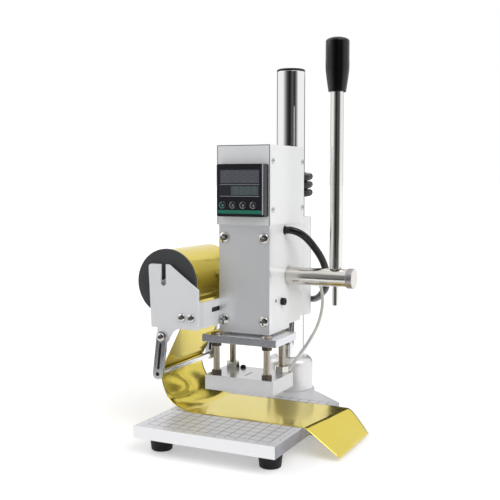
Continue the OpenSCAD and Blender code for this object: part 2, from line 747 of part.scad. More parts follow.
module lead_glands() color("#1b1c1e") {
    for (p = [side_gland, probe_gland]) translate(p) rotate([0, 90, 0])
        gland(gland_l - 1, gland_bore, gland_face);
    translate([lead_hole[0], box_back + gland_lip, lead_hole[1]]) rotate([-90, 0, 0])
        gland(wall_gland_l, gland_bore, gland_face);
    translate([mains_hole[0], box_back + gland_lip, mains_hole[1]]) rotate([-90, 0, 0])
        gland(wall_gland_l, gland_bore, -1);
}

module heater_lead_loop() color("#202124") tube(lead_join, lead_d, 8);

module heater_lead_winding() color("#202124") tube(winding, lead_d, 6);

module heater_lead_tail() color("#202124") tube(lead_in, lead_d, 8);

module probe_lead() color("#cfd0cc") tube(probe_route, probe_d, 8);

// Roll holder

module roll_bracket() color("#e8e9ea") difference() {
    union() {
        block([strip_x - bracket_t, cheek_in_front, head_z + strip_up],
            [strip_x, cheek_in_back, head_z + strip_up + strip_h]);
        for (y = [cheek_in_front, cheek_in_back - bracket_t])
            block([strip_x - flap_l, y, head_z + strip_up],
                [strip_x, y + bracket_t, head_z + strip_up + strip_h]);
    }
    for (y = strip_screw_y) translate([strip_x - bracket_t - 1, 0, 0]) rotate([90, 0, 90])
        linear_extrude(bracket_t + 2)
            slot_shape([y - strip_slot, strip_screw_z], [y + 2, strip_screw_z], strip_screw_d + 2 * gap);
    for (x = cheek_screw_x) rod_y(cheek_thread, x, cheek_in_front - 1, cheek_in_back + 1, cheek_screw_z);
}

module bracket_screws() color("#b4b6b9") for (y = strip_screw_y)
    translate([strip_x - bracket_t, y, strip_screw_z]) rotate([0, -90, 0])
        round_screw(pan_d, pan_h, strip_screw_d - 2 * fit, bracket_t + thread_l - 1);

cheek_out = 16;
cheek_left = axle_x - cheek_out;
cheek_rise = 17.5;
cheek_drop = 42;
cheek_top = axle_z + cheek_rise;
cheek_low = axle_z - cheek_drop;
cheek_corner = 3;
tab_r = 6.5;
notch_r = 12;
cheek_set_in = 2.5;
cheek_right = strip_x - bracket_t - cheek_set_in;

module cheek_outline() {
    difference() {
        union() {
            polygon([[cheek_left + cheek_corner, cheek_top], [axle_x + 6, cheek_top],
                [cheek_right, axle_z - 5], [cheek_right, cheek_low], [pivot_x - tab_r, cheek_low],
                [cheek_left + 2.5, cheek_low], [cheek_left, cheek_top - cheek_corner]]);
            translate([cheek_left + cheek_corner, cheek_top - cheek_corner]) circle(r = cheek_corner);
            translate([pivot_x - tab_r, pivot_z]) square([2 * tab_r + notch_r, cheek_low - pivot_z + 1]);
            translate([pivot_x, pivot_z]) circle(r = tab_r);
        }
        translate([pivot_x + tab_r + notch_r, cheek_low - notch_r]) circle(r = notch_r);
        translate([axle_x, axle_z]) circle(d = axle_d + 4 * fit);
        translate([axle_x - axle_d / 2 - 2 * fit, axle_z]) square([axle_d + 4 * fit, cheek_top - axle_z + 1]);
        translate([pivot_x, pivot_z]) circle(d = pivot_screw_d);
        for (x = cheek_screw_x) translate([x, cheek_screw_z]) circle(d = cheek_thread + 2 * fit);
    }
}

module roll_cheeks() color("#eff0f0") {
    upright(cheek_in_front - bracket_t, cheek_in_front) cheek_outline();
    upright(cheek_in_back, cheek_in_back + bracket_t) cheek_outline();
}

module cheek_screws() color("#b4b6b9") for (x = cheek_screw_x) {
    translate([x, cheek_in_front - bracket_t, cheek_screw_z]) rotate([90, 0, 0])
        round_screw(pan_d, pan_h, cheek_thread - 2 * fit, 2 * bracket_t);
    translate([x, cheek_in_back + bracket_t, cheek_screw_z]) rotate([-90, 0, 0])
        round_screw(pan_d, pan_h, cheek_thread - 2 * fit, 2 * bracket_t);
}

module guide_pivot_screws() color("#b4b6b9") {
    translate([pivot_x, arm_front - arm_t - gap, pivot_z]) rotate([90, 0, 0])
        round_screw(pan_d, pan_h, pivot_screw_d - 2 * fit, arm_t + bracket_t + 2 * gap);
    translate([pivot_x, arm_back + arm_t + gap, pivot_z]) rotate([-90, 0, 0])
        round_screw(pan_d, pan_h, pivot_screw_d - 2 * fit, arm_t + bracket_t + 2 * gap);
}

arm_slot_w = 2.6;
spigot_d = 4;
function arm_point(t) = [pivot_x, pivot_z] + t * [guide_x - pivot_x, guide_z - pivot_z];

module arm_outline() {
    difference() {
        slot_shape([pivot_x, pivot_z], [guide_x, guide_z], arm_w);
        translate([pivot_x, pivot_z]) circle(d = pivot_screw_d);
        slot_shape(arm_point(0.2), arm_point(0.84), arm_slot_w);
        translate([guide_x, guide_z]) circle(d = spigot_d);
    }
}

module guide_arms() color("#dadcdd") {
    upright(arm_front - arm_t, arm_front) arm_outline();
    upright(arm_back, arm_back + arm_t) arm_outline();
}

module guide_rod() color("#c4c6c8") {
    rod_y(guide_d, guide_x, arm_front, arm_back, guide_z);
    rod_y(spigot_d - 2 * fit, guide_x, arm_front - arm_t, arm_back + arm_t, guide_z);
}

// Foil roll

axle_body_d = 8;
hub_d = core_bore - 4 * fit;
hub_l = 12;

module roll_axle() color("#b0b2b5") {
    rod_y(axle_body_d, axle_x, foil_front - flange_t - 1, foil_back + flange_t + 1, axle_z);
    rod_y(axle_d, axle_x, cheek_in_front - bracket_t + gap, cheek_in_back + bracket_t - gap, axle_z);
}

module roll_core() color("#b89b6e") difference() {
    rod_y(core_d, axle_x, foil_front, foil_back, axle_z);
    rod_y(core_bore, axle_x, foil_front - 1, foil_back + 1, axle_z);
}

module foil_roll() color("#d6b63a") difference() {
    rod_y(foil_d, axle_x, foil_front, foil_back, axle_z);
    rod_y(core_d + 2 * fit, axle_x, foil_front - 1, foil_back + 1, axle_z);
}

module roll_flange(d) {
    bore_r = axle_body_d / 2 + fit;
    rotate_extrude() polygon([[bore_r, -flange_t], [d / 2, -flange_t], [d / 2, 0], [hub_d / 2, 0],
        [hub_d / 2, hub_l], [bore_r, hub_l]]);
}

module roll_flanges() color("#2a2b2e") {
    translate([axle_x, foil_front, axle_z]) rotate([-90, 0, 0]) roll_flange(flange_d);
    translate([axle_x, foil_back, axle_z]) rotate([90, 0, 0]) roll_flange(rear_flange_d);
}

function side_step(p, i) = let (t = heading(p, i)) foil_t / 2 * [-t[1], t[0]];

// A strip of foil along a row of points in the XZ plane
module foil_strip(path) {
    left = [for (i = [0 : len(path) - 1]) path[i] + side_step(path, i)];
    right = [for (i = [len(path) - 1 : -1 : 0]) path[i] - side_step(path, i)];
    upright(foil_front, foil_back) polygon(concat(left, right));
}

module foil_web() color("#d9ba3e") foil_strip(web_path);

// The foil on the base, its free end trimmed upright
module foil_lay() color("#d9ba3e") intersection() {
    foil_strip(lay_path);
    block([lay_from[0] - 1, foil_front - 1, 0], [foil_end[0], foil_back + 1, axle_z]);
}

// Lever

module lever_shaft() color("#c9cbcd") difference() {
    rod_x(shaft_d, -half_w - shaft_tail, shaft_end_x, shaft_y, shaft_z);
    rod_z(rod_stub_d + 2 * fit, lever_x, shaft_y, shaft_z - shaft_d, shaft_z + shaft_d);
    rod_x(cap_pin_d, shaft_end_x - cap_pin_l - 1, shaft_end_x + 1, shaft_y, shaft_z);
    translate([-half_w - gap - ring_t - 2 * fit, shaft_y, shaft_z]) rotate([0, 90, 0]) difference() {
        cylinder(d = shaft_d + 1, h = ring_t + 2 * fit);
        translate([0, 0, -1]) cylinder(d = shaft_d - 2 * ring_groove, h = ring_t + 3);
    }
}

function involute(r) = let (base = pitch_r * cos(20), k = r > base ? sqrt(pow(r / base, 2) - 1) : 0)
    k * 180 / PI - atan(k);
tooth_slack = 0.4;
function flank(r) = 90 / pinion_teeth - tooth_slack + involute(pitch_r) - involute(r);
flank_radii = [pitch_r - dedendum, pitch_r * cos(20), pitch_r - 0.5 * gear_module, pitch_r,
    pitch_r + 0.5 * gear_module, tip_r];
function tooth(a) = concat([for (r = flank_radii) polar([0, 0], r, a - flank(r))],
    [for (i = [len(flank_radii) - 1 : -1 : 0]) polar([0, 0], flank_radii[i], a + flank(flank_radii[i]))]);

// A gap of the pinion faces the rack at rest
module lever_pinion() color("#8f8a80") translate([-pinion_w / 2, shaft_y, shaft_z]) rotate([90, 0, 90])
    linear_extrude(pinion_w) difference() {
        polygon([for (i = [0 : pinion_teeth - 1]) each tooth(180 + (i + 0.5) * 360 / pinion_teeth)]);
        circle(d = shaft_d + 2 * fit);
    }

module lever_rod() color("#c5c7c9") {
    rod_z(rod_d, lever_x, shaft_y, shaft_z + shaft_d / 2, grip_z + rod_in_grip);
    rod_z(rod_stub_d, lever_x, shaft_y, shaft_z - shaft_d / 2 - rod_stub_l, shaft_z + shaft_d / 2 + 1);
}

grip_z = shaft_z + lever_l - grip_l;

module lever_grip() color("#1a1a1c") difference() {
    translate([lever_x, shaft_y, grip_z]) rotate_extrude() polygon(concat([[0, 0], [grip_low_d / 2 - 1, 0],
        [grip_low_d / 2, 1], [grip_d / 2 - 0.5, grip_l * 0.36], [grip_d / 2, grip_l * 0.45]],
        [for (a = [0 : 15 : 90]) [grip_d / 2 - 3 + 3 * cos(a), grip_l - 4 + 3 * sin(a)]], [[0, grip_l]]));
    rod_z(rod_d + 2 * fit, lever_x, shaft_y, grip_z - 1, grip_z + rod_in_grip + gap);
}

module shaft_end_cap() color("#cdcfd1") {
    rod_x(end_cap_d, shaft_end_x, shaft_end_x + end_cap_t, shaft_y, shaft_z);
    rod_x(cap_pin_d - 2 * fit, shaft_end_x - cap_pin_l, shaft_end_x + 1, shaft_y, shaft_z);
}

module shaft_retaining_ring() color("#5d5f63") difference() {
    rod_x(shaft_d + 4, -half_w - gap - ring_t - fit, -half_w - gap - fit, shaft_y, shaft_z);
    rod_x(shaft_d - 2 * ring_groove + 2 * fit, -half_w - 3, -half_w, shaft_y, shaft_z);
}

// Press

function rack_profile(z) = let (half = PI * gear_module / 4 - 0.06, lean = tan(20))
    [[ram_back - 0.5, z - half - lean * dedendum], [ram_back, z - half - lean * dedendum],
    [ram_back + dedendum + gear_module, z - half + lean * gear_module],
    [ram_back + dedendum + gear_module, z + half - lean * gear_module],
    [ram_back, z + half + lean * dedendum], [ram_back - 0.5, z + half + lean * dedendum]];
upper_top = upper_z + upper_t;
ram_screw_x = 8;
ram_screw_d = 5;
ram_screw_in = 10;

module ram() color("#aeb1b5") {
    difference() {
        block([-ram_w / 2, ram_front, upper_top], [ram_w / 2, ram_back, ram_top]);
        rod_z(spring_bore, 0, ram_mid_y, stop_pin_z - stop_pin_d, spring_roof);
        translate([-ram_w, 0, 0]) rotate([90, 0, 90]) linear_extrude(2 * ram_w)
            slot_shape([ram_mid_y, stop_pin_z], [ram_mid_y, stop_pin_z + stroke + gap], stop_pin_d + 2 * gap);
        for (x = [-1, 1])
            rod_z(ram_screw_d, x * ram_screw_x, ram_mid_y, upper_top - 1, upper_top + ram_screw_in + 1);
    }
    translate([-rack_w / 2, 0, 0]) rotate([90, 0, 90]) linear_extrude(rack_w)
        for (i = [-2 : rack_teeth_n - 2]) polygon(rack_profile(shaft_z + i * PI * gear_module));
}

module ram_screws() color("#7e8084") for (x = [-1, 1]) translate([x * ram_screw_x, ram_mid_y, upper_z])
    rotate_extrude() polygon([[0, 0], [ram_screw_d, 0], [ram_screw_d / 2 - fit, ram_screw_d / 2 + fit],
        [ram_screw_d / 2 - fit, upper_t + ram_screw_in], [0, upper_t + ram_screw_in]]);

module upper_plate() color("#d3d5d7") difference() {
    block([-upper_w / 2, plates_y - upper_d / 2, upper_z], [upper_w / 2, plates_y + upper_d / 2, upper_top]);
    for (p = stud_places()) rod_z(stud_d + 2 * fit, p[0], p[1], upper_z - 1, upper_top + 1);
    for (x = [-1, 1]) translate([x * ram_screw_x, ram_mid_y, upper_z]) rotate_extrude()
        polygon([[0, -1], [ram_screw_d + fit, -1], [ram_screw_d + fit, 0],
            [ram_screw_d / 2 + fit, ram_screw_d / 2], [ram_screw_d / 2 + fit, upper_t + 1],
            [0, upper_t + 1]]);
}

heater_top = heater_z + heater_t;
stud_foot = heater_top - stud_grip;

module plate_studs() color("#a9abad") for (p = stud_places()) {
    rod_z(stud_d, p[0], p[1], stud_foot, upper_top);
    if (p[1] < plates_y) translate([p[0], p[1], upper_top]) round_screw(10.8, stud_head_h, stud_d, 1);
}

module stud_nuts() color("#8d8f92") for (p = stud_places()) if (p[1] < plates_y) {
    translate([p[0], p[1], heater_top]) hex_nut(nut_af, nut_t, stud_d + 2 * fit);
    translate([p[0], p[1], upper_z - nut_t]) hex_nut(nut_af, nut_t, stud_d + 2 * fit);
} else {
    translate([p[0], p[1], heater_top]) hex_nut(rear_nut_af, rear_nut_t, stud_d + 2 * fit);
}

cartridge_d = 8;
cartridge_x = 8;
cartridge_l = heater_d - 9;
probe_screw_x = -15;
probe_screw_y = heater_back - 6;
probe_head_d = 5.5;
probe_head_h = 3;
probe_thread = 3;
probe_screw_l = 5;

module heater_plate() color("#dcdddf") difference() {
    block([-heater_w / 2, plates_y - heater_d / 2, heater_z], [heater_w / 2, heater_back, heater_top]);
    for (p = stud_places()) rod_z(stud_d + 2 * fit, p[0], p[1], stud_foot - 1, heater_top + 1);
    for (x = [-1, 1]) rod_y(cartridge_d + 2 * fit, x * cartridge_x,
        heater_back - cartridge_l, heater_back + 1, heater_mid_z);
    rod_z(probe_thread, probe_screw_x, probe_screw_y, heater_top - probe_screw_l - 1, heater_top + 1);
}

module cartridge_heaters() color("#8a6f55") for (x = [-1, 1])
    rod_y(cartridge_d, x * cartridge_x, heater_back - cartridge_l + gap, heater_back, heater_mid_z);

module probe_screw() color("#1c1d1f") translate([probe_screw_x, probe_screw_y, heater_top])
    round_screw(probe_head_d, probe_head_h, probe_thread - 2 * fit, probe_screw_l);

translate(origin) {
    base_plate();
    rubber_feet();
    foot_screws();
    column();
    column_cap();
    column_collar();
    column_bolt();
    head_body();
    head_front_plate();
    front_plate_screws();
    head_lock_screws();
    side_lock_screw();
    spring_stop_pin();
    return_spring();
    shaft_bushes();
    box_chassis();
    box_cover();
    box_front_panel();
    cover_screws();
    chassis_screws();
    controller_case();
    controller_bezel();
    controller_window();
    for (i = [0 : 3]) key(i);
    lead_glands();
    heater_lead_loop();
    heater_lead_winding();
    heater_lead_tail();
    roll_bracket();
    bracket_screws();
    roll_cheeks();
    cheek_screws();
    guide_pivot_screws();
    guide_arms();
    guide_rod();
    roll_axle();
    roll_core();
    foil_roll();
    roll_flanges();
    foil_web();
    foil_lay();
    lever_shaft();
    lever_pinion();
    lever_rod();
    lever_grip();
    shaft_end_cap();
    shaft_retaining_ring();
    ram();
    ram_screws();
    upper_plate();
    plate_studs();
    stud_nuts();
    heater_plate();
    cartridge_heaters();
    probe_screw();
    probe_lead();
}
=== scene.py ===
"""Hot foil stamping machine: finishes, soft pieces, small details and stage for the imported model."""

import json
import math

import bmesh
import bpy
from mathutils import Matrix, Vector

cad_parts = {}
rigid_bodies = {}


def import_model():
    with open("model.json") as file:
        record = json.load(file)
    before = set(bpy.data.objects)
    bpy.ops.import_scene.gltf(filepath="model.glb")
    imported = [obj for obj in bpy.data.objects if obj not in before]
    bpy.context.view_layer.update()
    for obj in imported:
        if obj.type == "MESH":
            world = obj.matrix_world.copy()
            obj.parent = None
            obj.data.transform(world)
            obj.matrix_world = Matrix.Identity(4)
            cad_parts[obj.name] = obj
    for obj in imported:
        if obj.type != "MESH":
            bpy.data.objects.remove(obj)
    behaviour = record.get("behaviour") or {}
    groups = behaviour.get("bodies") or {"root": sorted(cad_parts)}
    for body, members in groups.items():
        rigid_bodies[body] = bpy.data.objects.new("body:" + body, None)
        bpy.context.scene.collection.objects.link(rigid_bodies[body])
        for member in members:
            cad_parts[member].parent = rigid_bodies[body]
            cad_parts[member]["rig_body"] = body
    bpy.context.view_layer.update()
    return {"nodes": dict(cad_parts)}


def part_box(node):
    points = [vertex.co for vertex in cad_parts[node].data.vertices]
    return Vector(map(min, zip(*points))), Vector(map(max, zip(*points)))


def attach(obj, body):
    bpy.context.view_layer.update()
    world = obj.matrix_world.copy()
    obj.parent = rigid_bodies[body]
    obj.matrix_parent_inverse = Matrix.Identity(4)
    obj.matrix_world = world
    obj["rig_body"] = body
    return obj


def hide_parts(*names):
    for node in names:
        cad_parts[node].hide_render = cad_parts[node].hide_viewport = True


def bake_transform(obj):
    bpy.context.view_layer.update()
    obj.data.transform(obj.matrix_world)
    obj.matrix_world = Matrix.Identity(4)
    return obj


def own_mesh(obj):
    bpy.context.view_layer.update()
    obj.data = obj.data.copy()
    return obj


bl_info = {
    "name": "Hot foil stamping machine",
    "version": (1, 0, 0),
    "blender": (4, 5, 0),
    "location": "3D View > Sidebar > Stamping",
    "description": "Dresses the packed stamping machine and sets its studio",
    "category": "Object",
}

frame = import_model()
NODES = frame["nodes"]


def middle_of(node):
    """Middle of a CAD node's box."""
    low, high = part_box(node)
    return (Vector(low) + Vector(high)) / 2


MID_X = middle_of("head_body").x
FRONT_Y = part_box("base_plate")[0][1]
BASE_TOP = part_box("base_plate")[1][2]


def at(x, y, z):
    """A point given in millimetres from the head's middle, the base's front edge and the table."""
    return Vector((MID_X + x / 1000, FRONT_Y + y / 1000, z / 1000))


def spot(point):
    """A point of the scene in the millimetres that at() takes."""
    return Vector(((point[0] - MID_X) * 1000, (point[1] - FRONT_Y) * 1000, point[2] * 1000))


# Sizes and colours


class StampingSizes(bpy.types.PropertyGroup):
    """Sizes that a user would change"""

    grid_pitch: bpy.props.FloatProperty(
        name="Grid pitch", description="Spacing of the lines on the base", default=0.010, unit="LENGTH")
    grid_line: bpy.props.FloatProperty(
        name="Grid line", description="Width of a line on the base", default=0.0007, unit="LENGTH")
    number_height: bpy.props.FloatProperty(
        name="Number height", description="Height of the numbers on the base", default=0.0034, unit="LENGTH")
    edge_round: bpy.props.FloatProperty(
        name="Edge rounding", description="Rounding of machined edges", default=0.0004, unit="LENGTH")
    lead_diameter: bpy.props.FloatProperty(
        name="Heater lead", description="Diameter of the heater lead", default=0.007, unit="LENGTH")
    probe_diameter: bpy.props.FloatProperty(
        name="Probe lead", description="Diameter of the probe lead", default=0.003, unit="LENGTH")
    foil_thickness: bpy.props.FloatProperty(
        name="Foil", description="Thickness of the free foil", default=0.00008, unit="LENGTH")
    spring_turns: bpy.props.IntProperty(
        name="Spring turns", description="Turns of the return spring", default=10)


class StampingColours(bpy.types.PropertyGroup):
    """Colours that a user would change"""

    foil: bpy.props.FloatVectorProperty(
        name="Foil", description="Colour of the foil", subtype="COLOR", size=3, default=(0.74, 0.60, 0.10))
    enamel: bpy.props.FloatVectorProperty(
        name="Enamel", description="Colour of the head's enamel", subtype="COLOR", size=3,
        default=(0.85, 0.86, 0.86))
    front_plate: bpy.props.FloatVectorProperty(
        name="Front plate", description="Colour of the head's front plate", subtype="COLOR", size=3,
        default=(0.84, 0.85, 0.87))
    strip: bpy.props.FloatVectorProperty(
        name="Strip", description="Colour of the controller's lower strip", subtype="COLOR", size=3,
        default=(0.0, 0.16, 0.10))


# Finishes

COAT_ROUGHNESS, SMOOTHEST, FINE_RELIEF = 0.08, 0.02, 0.0001
# Values that several finishes share
PLAIN_STEEL = dict(tone=0.06, grain=1500.0)
MILLED = dict(tone=0.02, grain=2400.0, stretch=(0.1, 1, 1), depth=0.002, vary=0.03)
SCREEN = dict(coat=0.2, tone=0.08, depth=0.02)
SEGMENT = dict(coat=0.2, tone=0.06)
# Colour or the name of a colour above, roughness, metal and other values of each finish
FINISHES = {
    "white_enamel": ("enamel", 0.33, 0.0, dict(coat=0.2, tone=0.015, patch=22.0, grain=520.0, depth=0.12)),
    "box_enamel": ((0.89, 0.90, 0.90), 0.40, 0.0, dict(coat=0.1, tone=0.015, patch=22.0, depth=0.18)),
    "panel_enamel": ((0.78, 0.79, 0.80), 0.38, 0.1, dict(tone=0.02, grain=1100.0, stretch=(0.05, 1, 1))),
    "plate_enamel": ("front_plate", 0.33, 0.65, dict(
        tone=0.02, grain=1600.0, stretch=(1, 1, 0.05), depth=0.004, vary=0.03)),
    "sheet_enamel": ((0.77, 0.78, 0.80), 0.36, 0.1, dict(tone=0.02, grain=800.0)),
    "chrome_plate": ((0.86, 0.86, 0.87), 0.07, 1.0, dict(tone=0.02, grain=1400.0, depth=0.01, vary=0.03)),
    "lever_nickel": ((0.80, 0.78, 0.75), 0.13, 1.0, dict(
        tone=0.03, grain=1600.0, stretch=(1, 1, 0.04), depth=0.02)),
    "shaft_nickel": ((0.68, 0.66, 0.62), 0.17, 1.0, dict(
        tone=0.03, grain=1600.0, stretch=(0.04, 1, 1), depth=0.02)),
    "cap_ring": ((0.40, 0.37, 0.38), 0.34, 0.85, dict(tone=0.1, grain=1500.0, depth=0.02, vary=0.03)),
    "satin_collar": ((0.76, 0.76, 0.77), 0.33, 0.6, dict(
        tone=0.02, grain=1500.0, stretch=(0.05, 0.05, 1), depth=0.004, vary=0.03)),
    "milled_plate": ((0.70, 0.71, 0.75), 0.22, 0.9, MILLED),
    "heater_plate": ((0.62, 0.62, 0.63), 0.22, 0.75, MILLED),
    "brushed_sheet": ((0.70, 0.71, 0.73), 0.22, 1.0, dict(tone=0.04, grain=1500.0, stretch=(1, 1, 0.06))),
    "zinc_screw": ((0.60, 0.59, 0.57), 0.14, 1.0, PLAIN_STEEL),
    "nut_steel": ((0.70, 0.68, 0.62), 0.18, 1.0, PLAIN_STEEL),
    "sawn_edge": ((0.34, 0.34, 0.40), 0.35, 0.8, dict(tone=0.4, patch=90.0, stretch=(1, 1, 0.1))),
    # Nut steel darkened: painted shade for the nuts in front
    "dark_nut": ((0.09, 0.075, 0.06), 0.34, 0.8, dict(tone=0.15, grain=1500.0)),
    "black_oxide": ((0.014, 0.014, 0.016), 0.36, 0.3, dict(tone=0.2, grain=1500.0, gleam=0.3)),
    "spring_wire": ((0.5, 0.5, 0.52), 0.34, 1.0, dict(tone=0.08)),
    "bush_steel": ((0.76, 0.76, 0.76), 0.4, 0.3, dict(tone=0.04)),
    "gear_steel": ((0.45, 0.44, 0.43), 0.34, 1.0, dict(tone=0.08, grain=1300.0, stretch=(0.06, 1, 1))),
    "tinted_sheath": ((0.40, 0.33, 0.27), 0.4, 1.0, dict(tone=0.15)),
    "foot_rubber": ((0.010, 0.010, 0.011), 0.55, 0.0, dict(tone=0.2, grain=1100.0, depth=0.25, gleam=0.25)),
    "cap_plastic": ((0.014, 0.014, 0.016), 0.42, 0.0, dict(tone=0.15, grain=1100.0, depth=0.2, gleam=0.3)),
    "grip_moulding": ((0.003, 0.003, 0.004), 0.12, 0.0, dict(
        tone=0.2, grain=1200.0, depth=0.01, vary=0.03, gleam=0.4)),
    "flange_moulding": ((0.052, 0.053, 0.058), 0.5, 0.0, dict(tone=0.12, grain=1000.0, depth=0.3, gleam=0.3)),
    "bezel_moulding": ((0.011, 0.011, 0.016), 0.22, 0.0, dict(
        coat=0.05, tone=0.15, grain=1400.0, depth=0.03, gleam=0.2)),
    "display_glass": ((0.016, 0.017, 0.026), 0.14, 0.0, dict(coat=0.15, tone=0.1, depth=0.01, gleam=0.3)),
    "screen_grey": ((0.074, 0.076, 0.096), 0.21, 0.0, SCREEN),
    "screen_green": ((0.056, 0.074, 0.080), 0.21, 0.0, SCREEN),
    "segment_grey": ((0.082, 0.085, 0.104), 0.34, 0.0, SEGMENT),
    "segment_green": ((0.078, 0.112, 0.112), 0.34, 0.0, SEGMENT),
    "mark_print": ((0.33, 0.33, 0.35), 0.45, 0.0, dict(tone=0.06)),
    "green_print": ((0.06, 0.34, 0.26), 0.45, 0.0, dict(tone=0.06)),
    # Pale gloss of the strip that paints the highlight on the bezel's rim
    "rib_gloss": ((0.42, 0.43, 0.46), 0.34, 0.0, dict(coat=0.3, tone=0.1, patch=90.0)),
    "strip_print": ("strip", 0.4, 0.0, dict(coat=0.1, tone=0.08)),
    "number_print": ((0.05, 0.05, 0.055), 0.5, 0.0, dict(tone=0.15)),
    "seam_shadow": ((0.03, 0.03, 0.035), 0.6, 0.0, dict(tone=0.2, gleam=0.2)),
    "key_rubber": ((0.022, 0.024, 0.028), 0.4, 0.0, dict(tone=0.12, grain=1200.0, gleam=0.3)),
    "lead_rubber": ((0.008, 0.008, 0.009), 0.20, 0.0, dict(tone=0.2, grain=700.0, depth=0.05, gleam=0.35)),
    "probe_sleeve": ((0.62, 0.61, 0.57), 0.5, 0.0, dict(tone=0.03, grain=1800.0)),
    "wound_card": ((0.36, 0.23, 0.12), 0.75, 0.0, dict(tone=0.12, stretch=(1, 0.1, 1), depth=0.3)),
}


def fill(tree, node, values):
    """Gives a node its inputs: outputs of other nodes are linked, and all else is a plain value."""
    for name, value in values.items():
        socket = node.inputs[name]
        if isinstance(value, bpy.types.NodeSocket):
            tree.links.new(value, socket)
        else:
            socket.default_value = (*value, 1.0) if socket.type == "RGBA" else value
    return node


def add(tree, kind, values, **settings):
    """A new node with its settings and its inputs."""
    node = tree.nodes.new(kind)
    for name, value in settings.items():
        setattr(node, name, value)
    return fill(tree, node, values)


def calc(tree, operation, *values):
    """The result of a math node; its values are numbers or outputs of other nodes."""
    return add(tree, "ShaderNodeMath", dict(enumerate(values)), operation=operation).outputs[0]


def cloud(tree, place, scale, detail=3.0, stretch=(1, 1, 1)):
    """Noise over the piece's own coordinates."""
    stretched = add(tree, "ShaderNodeMapping", {"Vector": place, "Scale": stretch}).outputs[0]
    noise = add(tree, "ShaderNodeTexNoise", {"Vector": stretched, "Scale": scale, "Detail": detail})
    return noise.outputs["Fac"]


def spread(tree, value, low, high):
    """A value of about 0.3 to 0.7 mapped to a range."""
    node = add(tree, "ShaderNodeMapRange", {
        "Value": value, "From Min": 0.3, "From Max": 0.7, "To Min": low, "To Max": high})
    return node.outputs["Result"]


def tinted(tree, factor, low, high):
    """A colour between two, by a factor."""
    return add(tree, "ShaderNodeMix", {0: factor, 6: low, 7: high}, data_type="RGBA").outputs[2]


def relief(tree, shader, height, strength, distance):
    """A bump on the shader's normal, over the one that it already has."""
    node = add(tree, "ShaderNodeBump", {"Strength": strength, "Distance": distance, "Height": height})
    if shader.inputs["Normal"].links:
        fill(tree, node, {"Normal": shader.inputs["Normal"].links[0].from_socket})
    fill(tree, shader, {"Normal": node.outputs["Normal"]})


def seen(tree):
    """1 for the rays that show a thing to the camera, straight or in metal and glass, and 0 for its light."""
    rays = tree.nodes.new("ShaderNodeLightPath").outputs
    mirrored = calc(tree, "MAXIMUM", rays["Is Glossy Ray"], rays["Is Transmission Ray"])
    return calc(tree, "MAXIMUM", rays["Is Camera Ray"], mirrored)


def new_material(name):
    """A new material with its tree and its shader."""
    material = bpy.data.materials.new(name)
    material.use_nodes = True
    return material, material.node_tree, material.node_tree.nodes["Principled BSDF"]


def mixed(name, colour, rough, metal=0.0, coat=0.0, tone=0.05, patch=40.0, grain=900.0,
          stretch=(1, 1, 1), depth=0.1, vary=0.05, gleam=0.5):
    """A finish with a soft change of tone, a fine grain in its gloss and a fine relief.

    It comes with its tree, shader and object coordinates, for adding to it."""
    material, tree, shader = new_material("finish_" + name)
    place = tree.nodes.new("ShaderNodeTexCoord").outputs["Object"]
    dark = [c * (1 - tone) for c in colour]
    light = [min(1.0, c * (1 + tone)) for c in colour]
    fine = cloud(tree, place, grain, 2.0, stretch)
    fill(tree, shader, {
        "Metallic": metal, "Coat Weight": coat, "Coat Roughness": COAT_ROUGHNESS, "Specular IOR Level": gleam,
        "Base Color": tinted(tree, cloud(tree, place, patch), dark, light),
        "Roughness": spread(tree, fine, max(SMOOTHEST, rough - vary), rough + vary)})
    relief(tree, shader, fine, depth, FINE_RELIEF)
    return material, tree, shader, place


def finish(name):
    """A finish of the table, made when it is first asked for."""
    found = bpy.data.materials.get("finish_" + name)
    if found:
        return found
    colour, rough, metal, more = FINISHES[name]
    if isinstance(colour, str):
        colour = getattr(bpy.context.scene.stamping_colours, colour)
    return mixed(name, colour, rough, metal, **more)[0]


# Corners of the base's grid in X and Y
GRID_FROM, GRID_TO = (-60, 10), (60, 150)


def grid_plate():
    """Ground aluminium with an engraved grid on its top face and a brighter front face."""
    sizes = bpy.context.scene.stamping_sizes
    material, tree, shader, place = mixed(
        "ground_plate", (0.69, 0.69, 0.72), 0.36, 0.3, tone=0.03, patch=25.0, grain=1500.0,
        stretch=(0.06, 1, 1), depth=0.06, vary=0.07)
    axes = add(tree, "ShaderNodeSeparateXYZ", {0: place}).outputs
    half, top_skin, front_skin, ink = sizes.grid_line / 2, 0.0003, 0.0004, 0.9
    engraved, lines = calc(tree, "GREATER_THAN", axes[2], BASE_TOP - top_skin), []
    for axis, low, high in zip(axes, at(*GRID_FROM, 0), at(*GRID_TO, 0).xy):
        step = calc(tree, "DIVIDE", calc(tree, "SUBTRACT", axis, low), sizes.grid_pitch)
        off = calc(tree, "SUBTRACT", calc(tree, "FRACT", calc(tree, "ADD", step, 0.5)), 0.5)
        lines.append(calc(tree, "LESS_THAN", calc(tree, "ABSOLUTE", off), half / sizes.grid_pitch))
        away = calc(tree, "ABSOLUTE", calc(tree, "SUBTRACT", axis, (low + high) / 2))
        inside = calc(tree, "LESS_THAN", away, (high - low) / 2 + half)
        engraved = calc(tree, "MULTIPLY", engraved, inside)
    line = calc(tree, "MULTIPLY", calc(tree, "MAXIMUM", *lines), engraved)
    front = calc(tree, "LESS_THAN", axes[1], FRONT_Y + front_skin)
    bare = tinted(tree, front, shader.inputs["Base Color"].links[0].from_socket, (0.93, 0.93, 0.95))
    lined = tinted(tree, calc(tree, "MULTIPLY", line, ink), bare, (0.07, 0.065, 0.06))
    fill(tree, shader, {"Base Color": lined})
    relief(tree, shader, calc(tree, "SUBTRACT", 1.0, line), 0.25, FINE_RELIEF)
    return material


